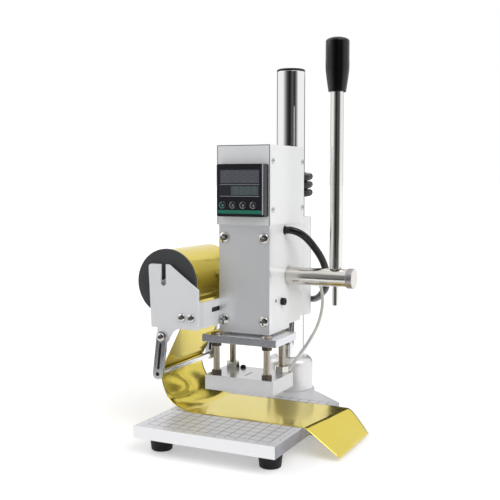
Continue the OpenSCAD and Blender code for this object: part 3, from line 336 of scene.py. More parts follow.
def stud_thread():
    """Bright steel with the fine rings of a thread along Z."""
    material, tree, shader, place = mixed(
        "stud_thread", (0.46, 0.41, 0.34), 0.2, 1.0, tone=0.06, grain=1500.0, depth=0.05)
    wave = add(tree, "ShaderNodeTexWave", {"Vector": place, "Scale": 320.0}, bands_direction="Z")
    relief(tree, shader, wave.outputs["Fac"], 0.35, 0.0002)
    return material


def foil_finish(name, crease):
    """Metallised film: a gold mirror with slight waves and a little haze."""
    gold = bpy.context.scene.stamping_colours.foil
    material, tree, shader, place = mixed(
        name, gold, 0.15, 0.94, tone=0.04, patch=18.0, grain=260.0, depth=0.01, vary=0.03)
    relief(tree, shader, cloud(tree, place, 9.0, 1.0, (1, 0.5, 1)), crease, 0.006)
    return material


# Shapes

# Angles past which shading breaks, below which faces are one, and past which edges are rounded
SHARP, FLAT, ROUNDED = 32.0, 0.3, 40.0
DOUBLES = 1e-6


def placed(name, data):
    """A new object in the scene."""
    thing = bpy.data.objects.new(name, data)
    bpy.context.scene.collection.objects.link(thing)
    return thing


def settle(thing, body, stands_for=()):
    """Lets a finished piece ride on its body, in place of CAD nodes."""
    if body:
        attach(thing, body)
    if stands_for:
        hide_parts(*stands_for)
    return thing


def piece(name, mesh, body, material, stands_for=()):
    """A finished piece of one mesh and one material."""
    mesh.materials.clear()
    mesh.materials.append(material)
    return settle(placed(name, mesh), body, stands_for)


def mesh_of(bm, name):
    """The mesh of a bmesh, which is used up."""
    mesh = bpy.data.meshes.new(name)
    bm.to_mesh(mesh)
    bm.free()
    return mesh


def soften(bm, smooth=True, angle=SHARP):
    """Smooth shading apart from the edges that are sharper than an angle."""
    for face in bm.faces:
        face.smooth = smooth
    for edge in bm.edges:
        sharp = len(edge.link_faces) == 2 and edge.calc_face_angle(0.0) > math.radians(angle)
        edge.smooth = not sharp


def shaped(bm, name, smooth=True, angle=SHARP):
    """The mesh of a bmesh with its doubles merged and its faces outwards."""
    bmesh.ops.remove_doubles(bm, verts=bm.verts, dist=DOUBLES)
    bmesh.ops.recalc_face_normals(bm, faces=bm.faces)
    soften(bm, smooth, angle)
    return mesh_of(bm, name)


def evaluated(thing):
    """Turns an object's modifiers into its plain mesh."""
    depsgraph = bpy.context.evaluated_depsgraph_get()
    mesh = bpy.data.meshes.new_from_object(thing.evaluated_get(depsgraph), depsgraph=depsgraph)
    thing.modifiers.clear()
    thing.data = mesh


def merged(node):
    """A copy of a CAD node's mesh with its triangles joined."""
    bm = bmesh.new()
    bm.from_mesh(NODES[node].data)
    bmesh.ops.remove_doubles(bm, verts=bm.verts, dist=DOUBLES)
    return bm


def dress(node, material, rounding=None, other=None, where=None):
    """A clean copy of a CAD node in its place, its edges rounded by a given or the usual millimetres.

    A second finish goes on the faces that the function where picks."""
    bm = merged(node)
    bmesh.ops.dissolve_limit(bm, angle_limit=math.radians(FLAT), verts=bm.verts, edges=bm.edges)
    for face in bm.faces:
        face.material_index = 1 if where and where(face) else 0
    soften(bm)
    thing = placed(node + "_dressed", mesh_of(bm, node + "_dressed"))
    for coat in (material, other) if other else (material,):
        thing.data.materials.append(coat)
    if rounding != 0:
        edge = thing.modifiers.new("edge", "BEVEL")
        edge.width = rounding / 1000 if rounding else bpy.context.scene.stamping_sizes.edge_round
        edge.segments = 2
        edge.limit_method = "ANGLE"
        edge.angle_limit = math.radians(ROUNDED)
        edge.harden_normals = True
        evaluated(thing)
    return settle(thing, NODES[node]["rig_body"], (node,))


def dress_all(*rows):
    """Dresses CAD nodes, each given with its finish and, where it isn't the usual one, its rounding."""
    for node, name, *rounding in rows:
        dress(node, finish(name), *rounding)


def circle(sides):
    """Cosine and sine of the corners of a circle."""
    return [(math.cos(2 * math.pi * k / sides), math.sin(2 * math.pi * k / sides)) for k in range(sides)]


def bridge(bm, rings):
    """Faces between each ring of corners and the next; a ring of one corner is a point."""
    sides = max(map(len, rings))
    for low, high in zip(rings, rings[1:]):
        for k in range(sides):
            j = k + 1
            corners = [low[k % len(low)], low[j % len(low)], high[j % len(high)], high[k % len(high)]]
            corners = list(dict.fromkeys(corners))
            if len(corners) > 2:
                bm.faces.new(corners)


def lathe(name, profile, middle=Vector(), sides=64):
    """A turned shape about an upright axis: profile points are radius and height in millimetres."""
    bm = bmesh.new()
    rings = []
    for radius, height in profile:
        corners = [Vector((radius * x, radius * y, height)) for x, y in circle(sides if radius else 1)]
        rings.append([bm.verts.new(middle + corner / 1000) for corner in corners])
    bridge(bm, rings)
    return shaped(bm, name)


def turned(mesh, place, axis):
    """A mesh laid over by a quarter turn and moved to its place."""
    mesh.transform(Matrix.Translation(place) @ Matrix.Rotation(math.pi / 2, 4, axis))
    return mesh


def flowing(points, steps=4):
    """A smooth row of points through the given ones."""
    points = [Vector(p) for p in points]
    ends = [2 * points[0] - points[1]] + points + [2 * points[-1] - points[-2]]
    row = []
    for i in range(1, len(ends) - 2):
        a, b, c, d = ends[i - 1:i + 3]
        for k in range(steps):
            t = k / steps
            row.append(0.5 * (2 * b + (c - a) * t + (2 * a - 5 * b + 4 * c - d) * t * t
                              + (3 * b - a - 3 * c + d) * t ** 3))
    return row + [points[-1]]


def heading(row, i):
    """Direction of a row of points at one of them."""
    return (row[min(i + 1, len(row) - 1)] - row[max(i - 1, 0)]).normalized()


def tube(name, row, radius, sides=18):
    """A round tube along a row of points, closed at both ends."""
    bm = bmesh.new()
    normal = Vector((0.3, 0.2, 0.9))
    rings = []
    for i, point in enumerate(row):
        ahead = heading(row, i)
        normal = (normal - ahead * normal.dot(ahead)).normalized()
        side = ahead.cross(normal)
        rings.append([bm.verts.new(point + radius * (x * normal + y * side)) for x, y in circle(sides)])
    bridge(bm, rings)
    bm.faces.new(rings[0][::-1])
    bm.faces.new(rings[-1])
    return shaped(bm, name, angle=60.0)


def slabs(name, outlines, offset):
    """Thin plates: outlines of points in metres, each made thick along the offset."""
    bm = bmesh.new()
    for outline in outlines:
        near = [bm.verts.new(point) for point in outline]
        far = [bm.verts.new(Vector(point) + Vector(offset)) for point in outline]
        bm.faces.new(near[::-1])
        bm.faces.new(far)
        bridge(bm, (near, far))
    return shaped(bm, name, smooth=False)


def plates(name, outlines, front, thickness):
    """Thin plates on an upright face that looks forward: outlines of X and Z in millimetres."""
    rows = [[at(x, front, z) for x, z in outline] for outline in outlines]
    return slabs(name, rows, (0, -thickness / 1000, 0))


def rectangle(x0, x1, z0, z1, corner=0.6):
    """A rectangle with rounded corners, as an outline."""
    outline = []
    low_x, high_x, low_z, high_z = x0 + corner, x1 - corner, z0 + corner, z1 - corner
    for x, z, turn in ((high_x, low_z, -90), (high_x, high_z, 0), (low_x, high_z, 90), (low_x, low_z, 180)):
        for k in range(4):
            a = math.radians(turn + 30 * k)
            outline.append((x + corner * math.cos(a), z + corner * math.sin(a)))
    return outline


def geometry_tree(name, inputs):
    """An empty geometry tree with named inputs."""
    tree = bpy.data.node_groups.new(name, "GeometryNodeTree")
    tree.interface.new_socket("Geometry", in_out="INPUT", socket_type="NodeSocketGeometry")
    for label, kind in inputs.items():
        tree.interface.new_socket(label, in_out="INPUT", socket_type="NodeSocket" + kind)
    tree.interface.new_socket("Geometry", in_out="OUTPUT", socket_type="NodeSocketGeometry")
    return tree, tree.nodes.new("NodeGroupInput").outputs


def close_tree(tree, geometry, material):
    """Ends a geometry tree in a plain mesh with its material."""
    real = add(tree, "GeometryNodeRealizeInstances", {0: geometry})
    coloured = add(tree, "GeometryNodeSetMaterial", {"Geometry": real.outputs[0], "Material": material})
    add(tree, "NodeGroupOutput", {0: coloured.outputs[0]})


def grown(thing, tree, values):
    """Runs a geometry tree on an object with the given inputs and keeps the plain mesh."""
    modifier = thing.modifiers.new(tree.name, "NODES")
    modifier.node_group = tree
    for item in tree.interface.items_tree:
        if item.in_out == "INPUT" and item.name in values:
            modifier[item.identifier] = values[item.name]
    evaluated(thing)
    return thing


def screw_tree():
    """Screws on points: a head shape scaled to its sizes, with a shank, turned along each point's aim."""
    if "screw_set" in bpy.data.node_groups:
        return bpy.data.node_groups["screw_set"]
    tree, given = geometry_tree("screw_set", {
        "Head": "Object", "Head Diameter": "Float", "Head Height": "Float",
        "Shank Diameter": "Float", "Shank Length": "Float", "Finish": "Material"})
    across, deep = given["Head Diameter"], given["Shank Length"]
    shape = add(tree, "GeometryNodeObjectInfo", {"Object": given["Head"]})
    size = add(tree, "ShaderNodeCombineXYZ", {0: across, 1: across, 2: given["Head Height"]})
    head = add(tree, "GeometryNodeTransform", {
        "Geometry": shape.outputs["Geometry"], "Scale": size.outputs[0]})
    rod = add(tree, "GeometryNodeMeshCylinder", {
        "Vertices": 20, "Radius": calc(tree, "MULTIPLY", given["Shank Diameter"], 0.5), "Depth": deep})
    sunk = add(tree, "ShaderNodeCombineXYZ", {2: calc(tree, "MULTIPLY", deep, -0.5)})
    shank = add(tree, "GeometryNodeTransform", {
        "Geometry": rod.outputs["Mesh"], "Translation": sunk.outputs[0]})
    screw = add(tree, "GeometryNodeJoinGeometry", {0: head.outputs[0]})
    fill(tree, screw, {0: shank.outputs[0]})
    aim = add(tree, "GeometryNodeInputNamedAttribute", {"Name": "aim"}, data_type="FLOAT_VECTOR")
    turn = add(tree, "FunctionNodeAlignRotationToVector", {"Vector": aim.outputs["Attribute"]}, axis="Z")
    points = add(tree, "GeometryNodeMeshToPoints", {"Mesh": given["Geometry"]})
    copies = add(tree, "GeometryNodeInstanceOnPoints", {
        "Points": points.outputs[0], "Instance": screw.outputs[0], "Rotation": turn.outputs[0]})
    close_tree(tree, copies.outputs[0], given["Finish"])
    return tree


# Sizes of a screw head as shares of its diameter, and heights as shares of its own
HEAD_RIM, HEAD_FLAT = 0.35, 0.92
CROSS_ARM, CROSS_REACH, CROSS_DEPTH = 0.07, 0.30, 0.55
HEXAGON_HALF, HEXAGON_DEPTH = 0.24, 0.5


def screw_head(kind):
    """A domed screw head of unit diameter and height with a cross or a hexagon recess."""
    name = "head_" + kind
    if name in bpy.data.objects:
        return bpy.data.objects[name]
    bm = bmesh.new()
    count, sides = 16, 48
    rings = []
    for r in range(count + 1):
        radius = 0.5 * r / count
        ring = []
        for c, s in circle(sides if r else 1):
            x, y = radius * c, radius * s
            z = HEAD_RIM + (1 - HEAD_RIM) * math.sqrt(max(0.0, 1 - (2 * radius) ** 2))
            if kind == "cross":
                near, far = sorted((abs(x), abs(y)))
                z -= CROSS_DEPTH if near < CROSS_ARM and far < CROSS_REACH else 0.0
            else:
                out = max(abs(x * math.cos(t) + y * math.sin(t)) for t in (0, math.pi / 3, 2 * math.pi / 3))
                z = min(z, HEAD_FLAT) - (HEXAGON_DEPTH if out < HEXAGON_HALF else 0.0)
            ring.append(bm.verts.new((x, y, z)))
        rings.append(ring)
    rings.append([bm.verts.new((v.co.x, v.co.y, 0.0)) for v in rings[-1]])
    bridge(bm, rings)
    bm.faces.new(rings[-1])
    return placed(name, shaped(bm, name, angle=40.0))


def islands(node):
    """Boxes of the separate solids in a CAD node."""
    bm = merged(node)
    left, boxes = set(bm.verts), []
    while left:
        stack, group = [left.pop()], []
        while stack:
            vert = stack.pop()
            group.append(vert.co.copy())
            for edge in vert.link_edges:
                other = edge.other_vert(vert)
                if other in left:
                    left.remove(other)
                    stack.append(other)
        boxes.append((Vector(map(min, zip(*group))), Vector(map(max, zip(*group)))))
    bm.free()
    return boxes


def screws(node, axis, kind, head_d, head_h, shank_d, material):
    """Detailed screws in the places of a CAD node's screws, with sizes in millimetres.

    Along X and Y their heads are away from the node's middle."""
    boxes = islands(node)
    middle = sum(((low + high) / 2 for low, high in boxes), Vector()) / len(boxes)
    k = "XYZ".index(axis[-1])
    seats, aims = [], []
    for low, high in boxes:
        seat, aim = (low + high) / 2, Vector()
        ahead = axis == "+Z" or (axis in "XY" and seat[k] > middle[k] + 1e-4)
        aim[k] = 1.0 if ahead else -1.0
        seat[k] = (high[k] if ahead else low[k]) - aim[k] * head_h / 1000
        shank = high[k] - low[k] - head_h / 1000
        seats.append(seat)
        aims.extend(aim)
    mesh = bpy.data.meshes.new(node + "_dressed")
    mesh.from_pydata(seats, [], [])
    mesh.attributes.new("aim", "FLOAT_VECTOR", "POINT").data.foreach_set("vector", aims)
    thing = grown(placed(node + "_dressed", mesh), screw_tree(), {
        "Head": screw_head(kind), "Head Diameter": head_d / 1000, "Head Height": head_h / 1000,
        "Shank Diameter": shank_d / 1000, "Shank Length": shank, "Finish": material})
    return settle(thing, NODES[node]["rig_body"], (node,))


# Stage

CAMERA_PLACE, CAMERA_TILT, CAMERA_TURN = (344.6, -615.2, 243.8), 85.23, 25.86
LENS, SENSOR = 60.79, 36.0
# Name, strength and direction of the lamps
LAMPS = (("right_lamp", 1.35, (0.66, -0.28, 0.70)), ("left_lamp", 0.6, (-0.72, -0.2, 0.6)))
LAMP_SPREAD = math.radians(50)
FLOOR_HALF, FLOOR_GREY, FLOOR_GLOW = 30, 0.82, 0.34
WORLD_LIGHT = 0.57
# Angle from the camera's side and shade of the posts of a studio card
FRONT_POSTS = ((-72, 1.0), (-60, 0.62), (-51, 0.40), (-42, 0.20), (-33, 0.08), (-25, 0.04), (-16, 0.02),
               (-8, 0.01), (0, 0.06), (8, 0.09), (16, 0.10), (25, 0.07), (33, 0.08), (42, 0.15), (51, 0.46),
               (58, 0.85), (64, 1.0))
TABLE_POSTS = ((-100, 0.8), (-84, 0.3), (-66, 0.12), *((turn, 0.10) for turn in (-46, -28, -6, 16, 38)))
BACK_POSTS = ((138, 0.95), (146, 0.35), (151, 0.05), (160, 0.05), (166, 0.5))
MIRRORED_POSTS = tuple((-turn, grey) for turn, grey in BACK_POSTS[::-1])
# Name, nearest reach on the table, height and posts of the cards round the machine
CARDS = (("front_card", 1.5, 1.5, FRONT_POSTS), ("table_card", 0.34, 0.0, TABLE_POSTS),
         ("right_card", 1.5, 0.55, BACK_POSTS), ("right_table_card", 0.4, 0.0, BACK_POSTS),
         ("left_card", 1.5, 0.55, MIRRORED_POSTS), ("left_table_card", 0.4, 0.0, MIRRORED_POSTS))
CARD_REACH, CARD_LIFT = 1.5, 0.003
# The card behind the machine: its ends, distance, heights and shade
REAR_X, REAR_Y, REAR_Z, REAR_SHADE = (-0.11, 0.095), 0.49, (0.04, 0.40), 0.04


class STAMPING_OT_stage(bpy.types.Operator):
    """Sets the camera at the photograph's angle, the floor, the lamps and the world"""

    bl_idname = "stamping.stage"
    bl_label = "Stage"

    def execute(self, context):
        scene = context.scene
        scene.view_settings.view_transform = "Standard"
        lens = bpy.data.cameras.new("camera")
        lens.lens, lens.sensor_width = LENS, SENSOR
        scene.camera = placed("camera", lens)
        scene.camera.location = at(*CAMERA_PLACE)
        scene.camera.rotation_euler = (math.radians(CAMERA_TILT), 0, math.radians(CAMERA_TURN))
        self.floor()
        self.cards()
        for name, energy, side in LAMPS:
            light = bpy.data.lights.new(name, "SUN")
            light.energy, light.angle = energy, LAMP_SPREAD
            placed(name, light).rotation_euler = Vector(side).to_track_quat("Z", "Y").to_euler()
        scene.world = bpy.data.worlds.new("studio")
        scene.world.use_nodes = True
        tree = scene.world.node_tree
        glow = calc(tree, "MULTIPLY", seen(tree), 1 - WORLD_LIGHT)
        fill(tree, tree.nodes["Background"], {
            "Color": (1, 1, 1), "Strength": calc(tree, "ADD", WORLD_LIGHT, glow)})
        return {"FINISHED"}

    def floor(self):
        """A pale floor that looks white and keeps the machine's shadow."""
        material, tree, shader = new_material("pale_floor")
        fill(tree, shader, {
            "Base Color": [FLOOR_GREY] * 3, "Roughness": 0.6, "Specular IOR Level": 0.1,
            "Emission Color": (1, 1, 1), "Emission Strength": calc(tree, "MULTIPLY", seen(tree), FLOOR_GLOW)})
        bm = bmesh.new()
        bmesh.ops.create_grid(bm, x_segments=8, y_segments=8, size=FLOOR_HALF)
        floor = placed("floor", shaped(bm, "floor", smooth=False))
        floor.data.materials.append(material)

    def cards(self):
        """The darker sides of the studio, upright and on the table, which only shiny pieces see."""
        material, tree, shader = new_material("card_grey")
        shade = add(tree, "ShaderNodeAttribute", {}, attribute_name="shade")
        fill(tree, shader, {
            "Base Color": (0, 0, 0), "Specular IOR Level": 0.0,
            "Emission Strength": 1.0, "Emission Color": shade.outputs["Color"]})
        cards = {}
        for name, near, high, posts in CARDS:
            cards[name] = []
            for turn, grey in posts:
                way = math.radians(CAMERA_TURN + turn)
                ray = Vector((math.sin(way), -math.cos(way), 0))
                cards[name].append((ray * near + Vector((0, 0, CARD_LIFT)), grey))
                cards[name].append((ray * CARD_REACH + Vector((0, 0, CARD_LIFT + high)), grey))
        cards["rear_card"] = [(Vector((x, REAR_Y, z)), REAR_SHADE) for x in REAR_X for z in REAR_Z]
        for name, corners in cards.items():
            mesh = bpy.data.meshes.new(name)
            mesh.from_pydata([corner for corner, grey in corners], [],
                             [(k, k + 2, k + 3, k + 1) for k in range(0, len(corners) - 2, 2)])
            shades = [value for corner, grey in corners for value in (grey, grey, grey, 1.0)]
            mesh.attributes.new("shade", "FLOAT_COLOR", "POINT").data.foreach_set("color", shades)
            mesh.materials.append(material)
            card = placed(name, mesh)
            card.visible_camera = card.visible_diffuse = card.visible_shadow = False


# Pieces

# The heater lead up to its turns, from the column's axis and the head's top
HEATER_LOOP = ((26, -74, -6), (33, -74, -6), (40, -70, -9), (45, -63, -15), (49, -56, -23), (52, -48, -32),
               (53, -40, -41), (52, -31, -51), (49, -22, -60), (44, -13, -68), (37, -4, -74), (30, 6, -79),
               (22, 16, -83), (12, 25, -85), (2, 31, -84), (-7, 34, -78), (-13, 35, -68), (-15, 35, -55),
               (-15, 35, -41), (-13, 35, -27), (-10, 35, -14), (-6, 34, -2), (-3, 31, 8), (-3, 26, 16),
               (-7, 20, 21))
# The turns' radius, rise, points, first angle and height above the head's top, and the last turn's end
TURN_RADIUS, TURN_RISE, TURN_STEPS, TURN_START, TURN_FOOT, LAST_STEP = 19.4, 8.2, 24, 135, 23, 75
# The straight run that leaves the turns, and how far from the box's rear face the lead ends
TAIL_RUN, TAIL_END = 0.010, 0.001
# The probe lead from the heated plate to the head, from the lever shaft's axis
PROBE_START, PROBE_RUN = (25, 117.85, 54), 0.004
PROBE_ROUTE = ((27, 1, -92), (32, 7, -82), (38, 13, -72), (44, 18, -60), (48, 21, -50), (51, 23, -38),
               (52, 24, -27), (51, 24, -17), (48, 24, -8), (42, 23, -2), (34, 23, 0), (26, 23, 0))
# The points of the probe lead that its ferrule covers, and the ferrule's wall
FERRULE, FERRULE_WALL = slice(32, 39), 0.0004


class STAMPING_OT_leads(bpy.types.Operator):
    """Makes the heater lead with its turns round the column, and the probe lead with its ferrule"""

    bl_idname = "stamping.leads"
    bl_label = "Leads"

    def execute(self, context):
        self.heater_lead(context.scene.stamping_sizes.lead_diameter)
        self.probe_lead(context.scene.stamping_sizes.probe_diameter)
        dress_all(("lead_glands", "cap_plastic"))
        return {"FINISHED"}

    def heater_lead(self, diameter):
        """The black lead: a loop from the head's side, the turns round the column, and into the box."""
        box_low, box_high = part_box("box_chassis")
        column_y, head_top = spot(middle_of("column")).y, box_low[2] * 1000
        route = [at(x, column_y + y, head_top + z) for x, y, z in HEATER_LOOP]
        for i in range(LAST_STEP + 1):
            a = math.radians(TURN_START + 360 * i / TURN_STEPS)
            route.append(at(TURN_RADIUS * math.cos(a), column_y + TURN_RADIUS * math.sin(a),
                            head_top + TURN_FOOT + TURN_RISE * i / TURN_STEPS))
        end = route[-1]
        route += [end - Vector((0, TAIL_RUN, 0)), Vector((end.x, box_high[1] + TAIL_END, end.z))]
        row = flowing(route)
        lead = piece("heater_lead", tube("heater_lead", row, diameter / 2), "head", finish("lead_rubber"),
                     ("heater_lead_loop", "heater_lead_winding", "heater_lead_tail"))

    def probe_lead(self, diameter):
        """The pale lead between the heated plate and the head."""
        start, shaft = at(*PROBE_START), spot(middle_of("lever_shaft"))
        route = [start, start + Vector((0, PROBE_RUN, 0))]
        route += [at(x, shaft.y + y, shaft.z + z) for x, y, z in PROBE_ROUTE]
        row = flowing(route[::-1])
        probe = piece("probe_lead_sleeve", tube("probe_lead_sleeve", row, diameter / 2, 14), None,
                      finish("probe_sleeve"), ("probe_lead",))
        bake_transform(probe)
        sleeve = tube("probe_ferrule", row[FERRULE], diameter / 2 + FERRULE_WALL)
        ferrule = piece("probe_ferrule", sleeve, None, finish("satin_collar"))
        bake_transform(ferrule)


# Room of the foil round the roll and the rod, its height on the base, and its free end's place
FOIL_CLEAR, FOIL_LIFT, FOIL_SHORT, FOIL_END_Z = 0.00045, 0.00015, 0.0008, 0.0037
# The bow's start below the rod, lean and drop there, reach right of the rod, and run onto the base
BOW_START, BOW_LEAN, BOW_DROP, BOW_REACH, BOW_RUN = 0.001, 0.002, 0.014, 0.031, 0.020
# Soft dents of the bow: place along and across it as shares, their reach, and depth
DENTS = ((0.34, 0.50, 0.20, 0.30, 0.0026), (0.52, 0.08, 0.20, 0.22, -0.0022),
         (0.68, 0.80, 0.18, 0.30, 0.0018))
# Waves on the base: their height and how many there are along and across the foil
WAVE_HEIGHT, WAVES_ALONG, WAVES_ACROSS = 0.0002, 2.4, 1.2
# The fall at the base's edge: how far it slants from front to rear, and where it bends over
FALL_SLANT, FALL_BENDS = 0.013, ((0.004, 0), (0.007, -0.003))
# The soft ridge down the fall: its height at the free end, and its place and width across the foil
RIDGE_HEIGHT, RIDGE_PLACE, RIDGE_WIDTH = 0.0006, 0.45, 0.14
# How steeply the dents and the waves come and go
DENT_RAMP, WAVE_RAMP = 6, 8
# Points of the foil from the roll to the rod, round it, in the bow, on the base and in the fall, and across
SPAN_STEPS, ROD_STEPS, BOW_STEPS, FLAT_STEPS, FALL_STEPS, CROSS_STEPS = 16, 6, 48, 48, 24, 40


class STAMPING_OT_foil(bpy.types.Operator):
    """Makes the free foil from the roll round the guide rod, over the base and past its edge"""

    bl_idname = "stamping.foil"
    bl_label = "Free foil"

    @staticmethod
    def bow(p, t):
        """A point of the curve that four points lead."""
        return p[0] * (1 - t) ** 3 + 3 * p[1] * t * (1 - t) ** 2 + 3 * p[2] * t * t * (1 - t) + p[3] * t ** 3

    @staticmethod
    def around(centre, radius, a):
        """A point of a circle at an angle."""
        return centre + radius * Vector((math.cos(a), math.sin(a)))

    @staticmethod
    def round_node(node):
        """Middle of a round node that lies along Y, in X and Z, and its radius with the foil's room."""
        low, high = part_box(node)
        return middle_of(node).xz, (high[0] - low[0]) / 2 + FOIL_CLEAR

    def line(self, share):
        """The foil's line in X and Z at a share of its width, front to rear, with its slight folds."""
        axle, web_r = self.round_node("foil_roll")
        rod, bend_r = self.round_node("guide_rod")
        flat, span = BASE_TOP + FOIL_LIFT, rod - axle
        turn = math.atan2(span.y, span.x) + math.acos((web_r + bend_r) / span.length)
        top, low = self.around(axle, web_r, turn), self.around(rod, bend_r, math.pi + turn)
        start, foot = Vector((rod.x - bend_r, rod.y - BOW_START)), Vector((rod.x + BOW_REACH, flat))
        ridge = Vector((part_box("base_plate")[1][0] + FALL_SLANT * share, flat))
        end = Vector((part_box("foil_lay")[1][0] - FOIL_SHORT, FOIL_END_Z))
        bend = (start, start - Vector((BOW_LEAN, BOW_DROP)), foot - Vector((BOW_RUN, 0)), foot)
        fall = (ridge, *(ridge + Vector(shift) for shift in FALL_BENDS), end)
        row = [(top.lerp(low, k / SPAN_STEPS), 0.0) for k in range(SPAN_STEPS)]
        turns = [math.pi + turn * (1 - k / ROD_STEPS) for k in range(ROD_STEPS)]
        row += [(self.around(rod, bend_r, a), 0.0) for a in turns]
        for k in range(BOW_STEPS):
            t = k / BOW_STEPS
            swell = min(1.0, DENT_RAMP * t, DENT_RAMP * (1 - t))
            fold = sum(depth * math.exp(-((t - along) / tall) ** 2 - ((share - across) / wide) ** 2)
                       for along, across, tall, wide, depth in DENTS)
            row.append((self.bow(bend, t), swell * fold))
        for k in range(FLAT_STEPS):
            t = k / FLAT_STEPS
            lift = min(1.0, WAVE_RAMP * t, WAVE_RAMP * (1 - t))
            wave = 1 + math.sin(2 * math.pi * (WAVES_ALONG * t + WAVES_ACROSS * share))
            row.append((foot.lerp(ridge, t), WAVE_HEIGHT * lift * wave))
        for k in range(FALL_STEPS + 1):
            t = k / FALL_STEPS
            fold = RIDGE_HEIGHT * t * math.exp(-((share - RIDGE_PLACE) / RIDGE_WIDTH) ** 2)
            row.append((self.bow(fall, t), fold))
        points = [point for point, fold in row]
        aheads = [heading(points, k) for k in range(len(points))]
        return [point + fold * Vector((-ahead.y, ahead.x)) for (point, fold), ahead in zip(row, aheads)]

    def execute(self, context):
        front, back = (corner[1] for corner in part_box("foil_roll"))
        bm = bmesh.new()
        grid = []
        for j in range(CROSS_STEPS + 1):
            y = front + (back - front) * j / CROSS_STEPS
            grid.append([bm.verts.new((p.x, y, p.y)) for p in self.line(j / CROSS_STEPS)])
        for a, b in zip(grid, grid[1:]):
            for k in range(len(a) - 1):
                bm.faces.new((a[k], a[k + 1], b[k + 1], b[k]))
        area = sum(f.calc_area() for f in bm.faces)
        sheet = piece("free_foil", shaped(bm, "free_foil", angle=70.0), None, foil_finish("foil_sheet", 0.06),
                      ("foil_web", "foil_lay"))
        wall = sheet.modifiers.new("thickness", "SOLIDIFY")
        wall.thickness = context.scene.stamping_sizes.foil_thickness
        wall.offset = 0
        evaluated(sheet)
        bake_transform(sheet)
        return {"FINISHED"}


# Pitch of the numbers on the base, their row along its front, and the columns at its sides
NUMBER_PITCH, NUMBER_ROW, NUMBER_SIDE, NUMBER_COUNT, NUMBER_LIFT = 10, 5.5, 65, 13, 0.00004


class STAMPING_OT_base(bpy.types.Operator):
    """Dresses the base plate with its grid and numbers, and its feet"""

    bl_idname = "stamping.base"
    bl_label = "Base"

    def execute(self, context):
        dress("base_plate", grid_plate(), 0.6, finish("sawn_edge"), lambda f: abs(f.normal.x) > 0.9)
        dress_all(("rubber_feet", "foot_rubber", 0.6))
        left, front = GRID_FROM
        bm = bmesh.new()
        for i in range(NUMBER_COUNT):
            self.print_number(context, bm, i + 1, left + NUMBER_PITCH * i, NUMBER_ROW)
        for side in (-1, 1):
            for i in range(1, NUMBER_COUNT + 1):
                self.print_number(context, bm, i + 1, side * NUMBER_SIDE, front + NUMBER_PITCH * i)
        for face in bm.faces:
            if face.normal.z < 0:
                face.normal_flip()
        piece("base_numbers", mesh_of(bm, "base_numbers"), "frame", finish("number_print"))
        return {"FINISHED"}

    def print_number(self, context, bm, number, x, y):
        """Adds a number to a mesh, flat on the base."""
        curve = bpy.data.curves.new("figure", "FONT")
        curve.body, curve.size = str(number), context.scene.stamping_sizes.number_height
        curve.align_x = curve.align_y = "CENTER"
        writing = placed("figure", curve)
        mesh = bpy.data.meshes.new_from_object(writing.evaluated_get(context.evaluated_depsgraph_get()))
        mesh.transform(Matrix.Translation(at(x, y, 0) + Vector((0, 0, BASE_TOP + NUMBER_LIFT))))
        bm.from_mesh(mesh)
        bpy.data.objects.remove(writing)
        bpy.data.curves.remove(curve)
        bpy.data.meshes.remove(mesh)


class STAMPING_OT_column(bpy.types.Operator):
    """Dresses the column, its cap, collar and bolt"""

    bl_idname = "stamping.column"
    bl_label = "Column"

    def execute(self, context):
        dress_all(("column", "chrome_plate", 0.5), ("column_cap", "cap_plastic"),
                  ("column_collar", "satin_collar", 0.6), ("column_bolt", "black_oxide"))
        return {"FINISHED"}


# Radius and height of the dark ring that paints the shade in the small hole of the head's side, and the
# hole's place
HOLE_SHADE_RING = ((0.4, 0.0), (0.9, 0.05), (1.0, 0.12), (1.5, 0.12), (1.6, 0.0), (0.4, 0.0))
HOLE_PLACE = (26, 97.5, 131)


class STAMPING_OT_head(bpy.types.Operator):
    """Dresses the head, its front plate, clamp screws and bushes, and paints the shade of its small side hole
    as a dark ring
    """

    bl_idname = "stamping.head"
    bl_label = "Head"

    def execute(self, context):
        dress_all(("head_body", "white_enamel", 0.7), ("head_front_plate", "plate_enamel", 0.5),
                  ("head_lock_screws", "black_oxide"), ("side_lock_screw", "black_oxide", 0.3),
                  ("spring_stop_pin", "zinc_screw"), ("shaft_bushes", "bush_steel"))
        # Painted shade: a dark ring for the small hole in the head's side
        ring = turned(lathe("side_hole", HOLE_SHADE_RING, sides=32), at(*HOLE_PLACE), "Y")
        piece("side_hole", ring, "head", finish("black_oxide"))
        return {"FINISHED"}


# Radius of the spring's wire, and the share of its length that is left when the ram is down
WIRE_RADIUS, SPRING_KEPT = 0.0007, 0.635


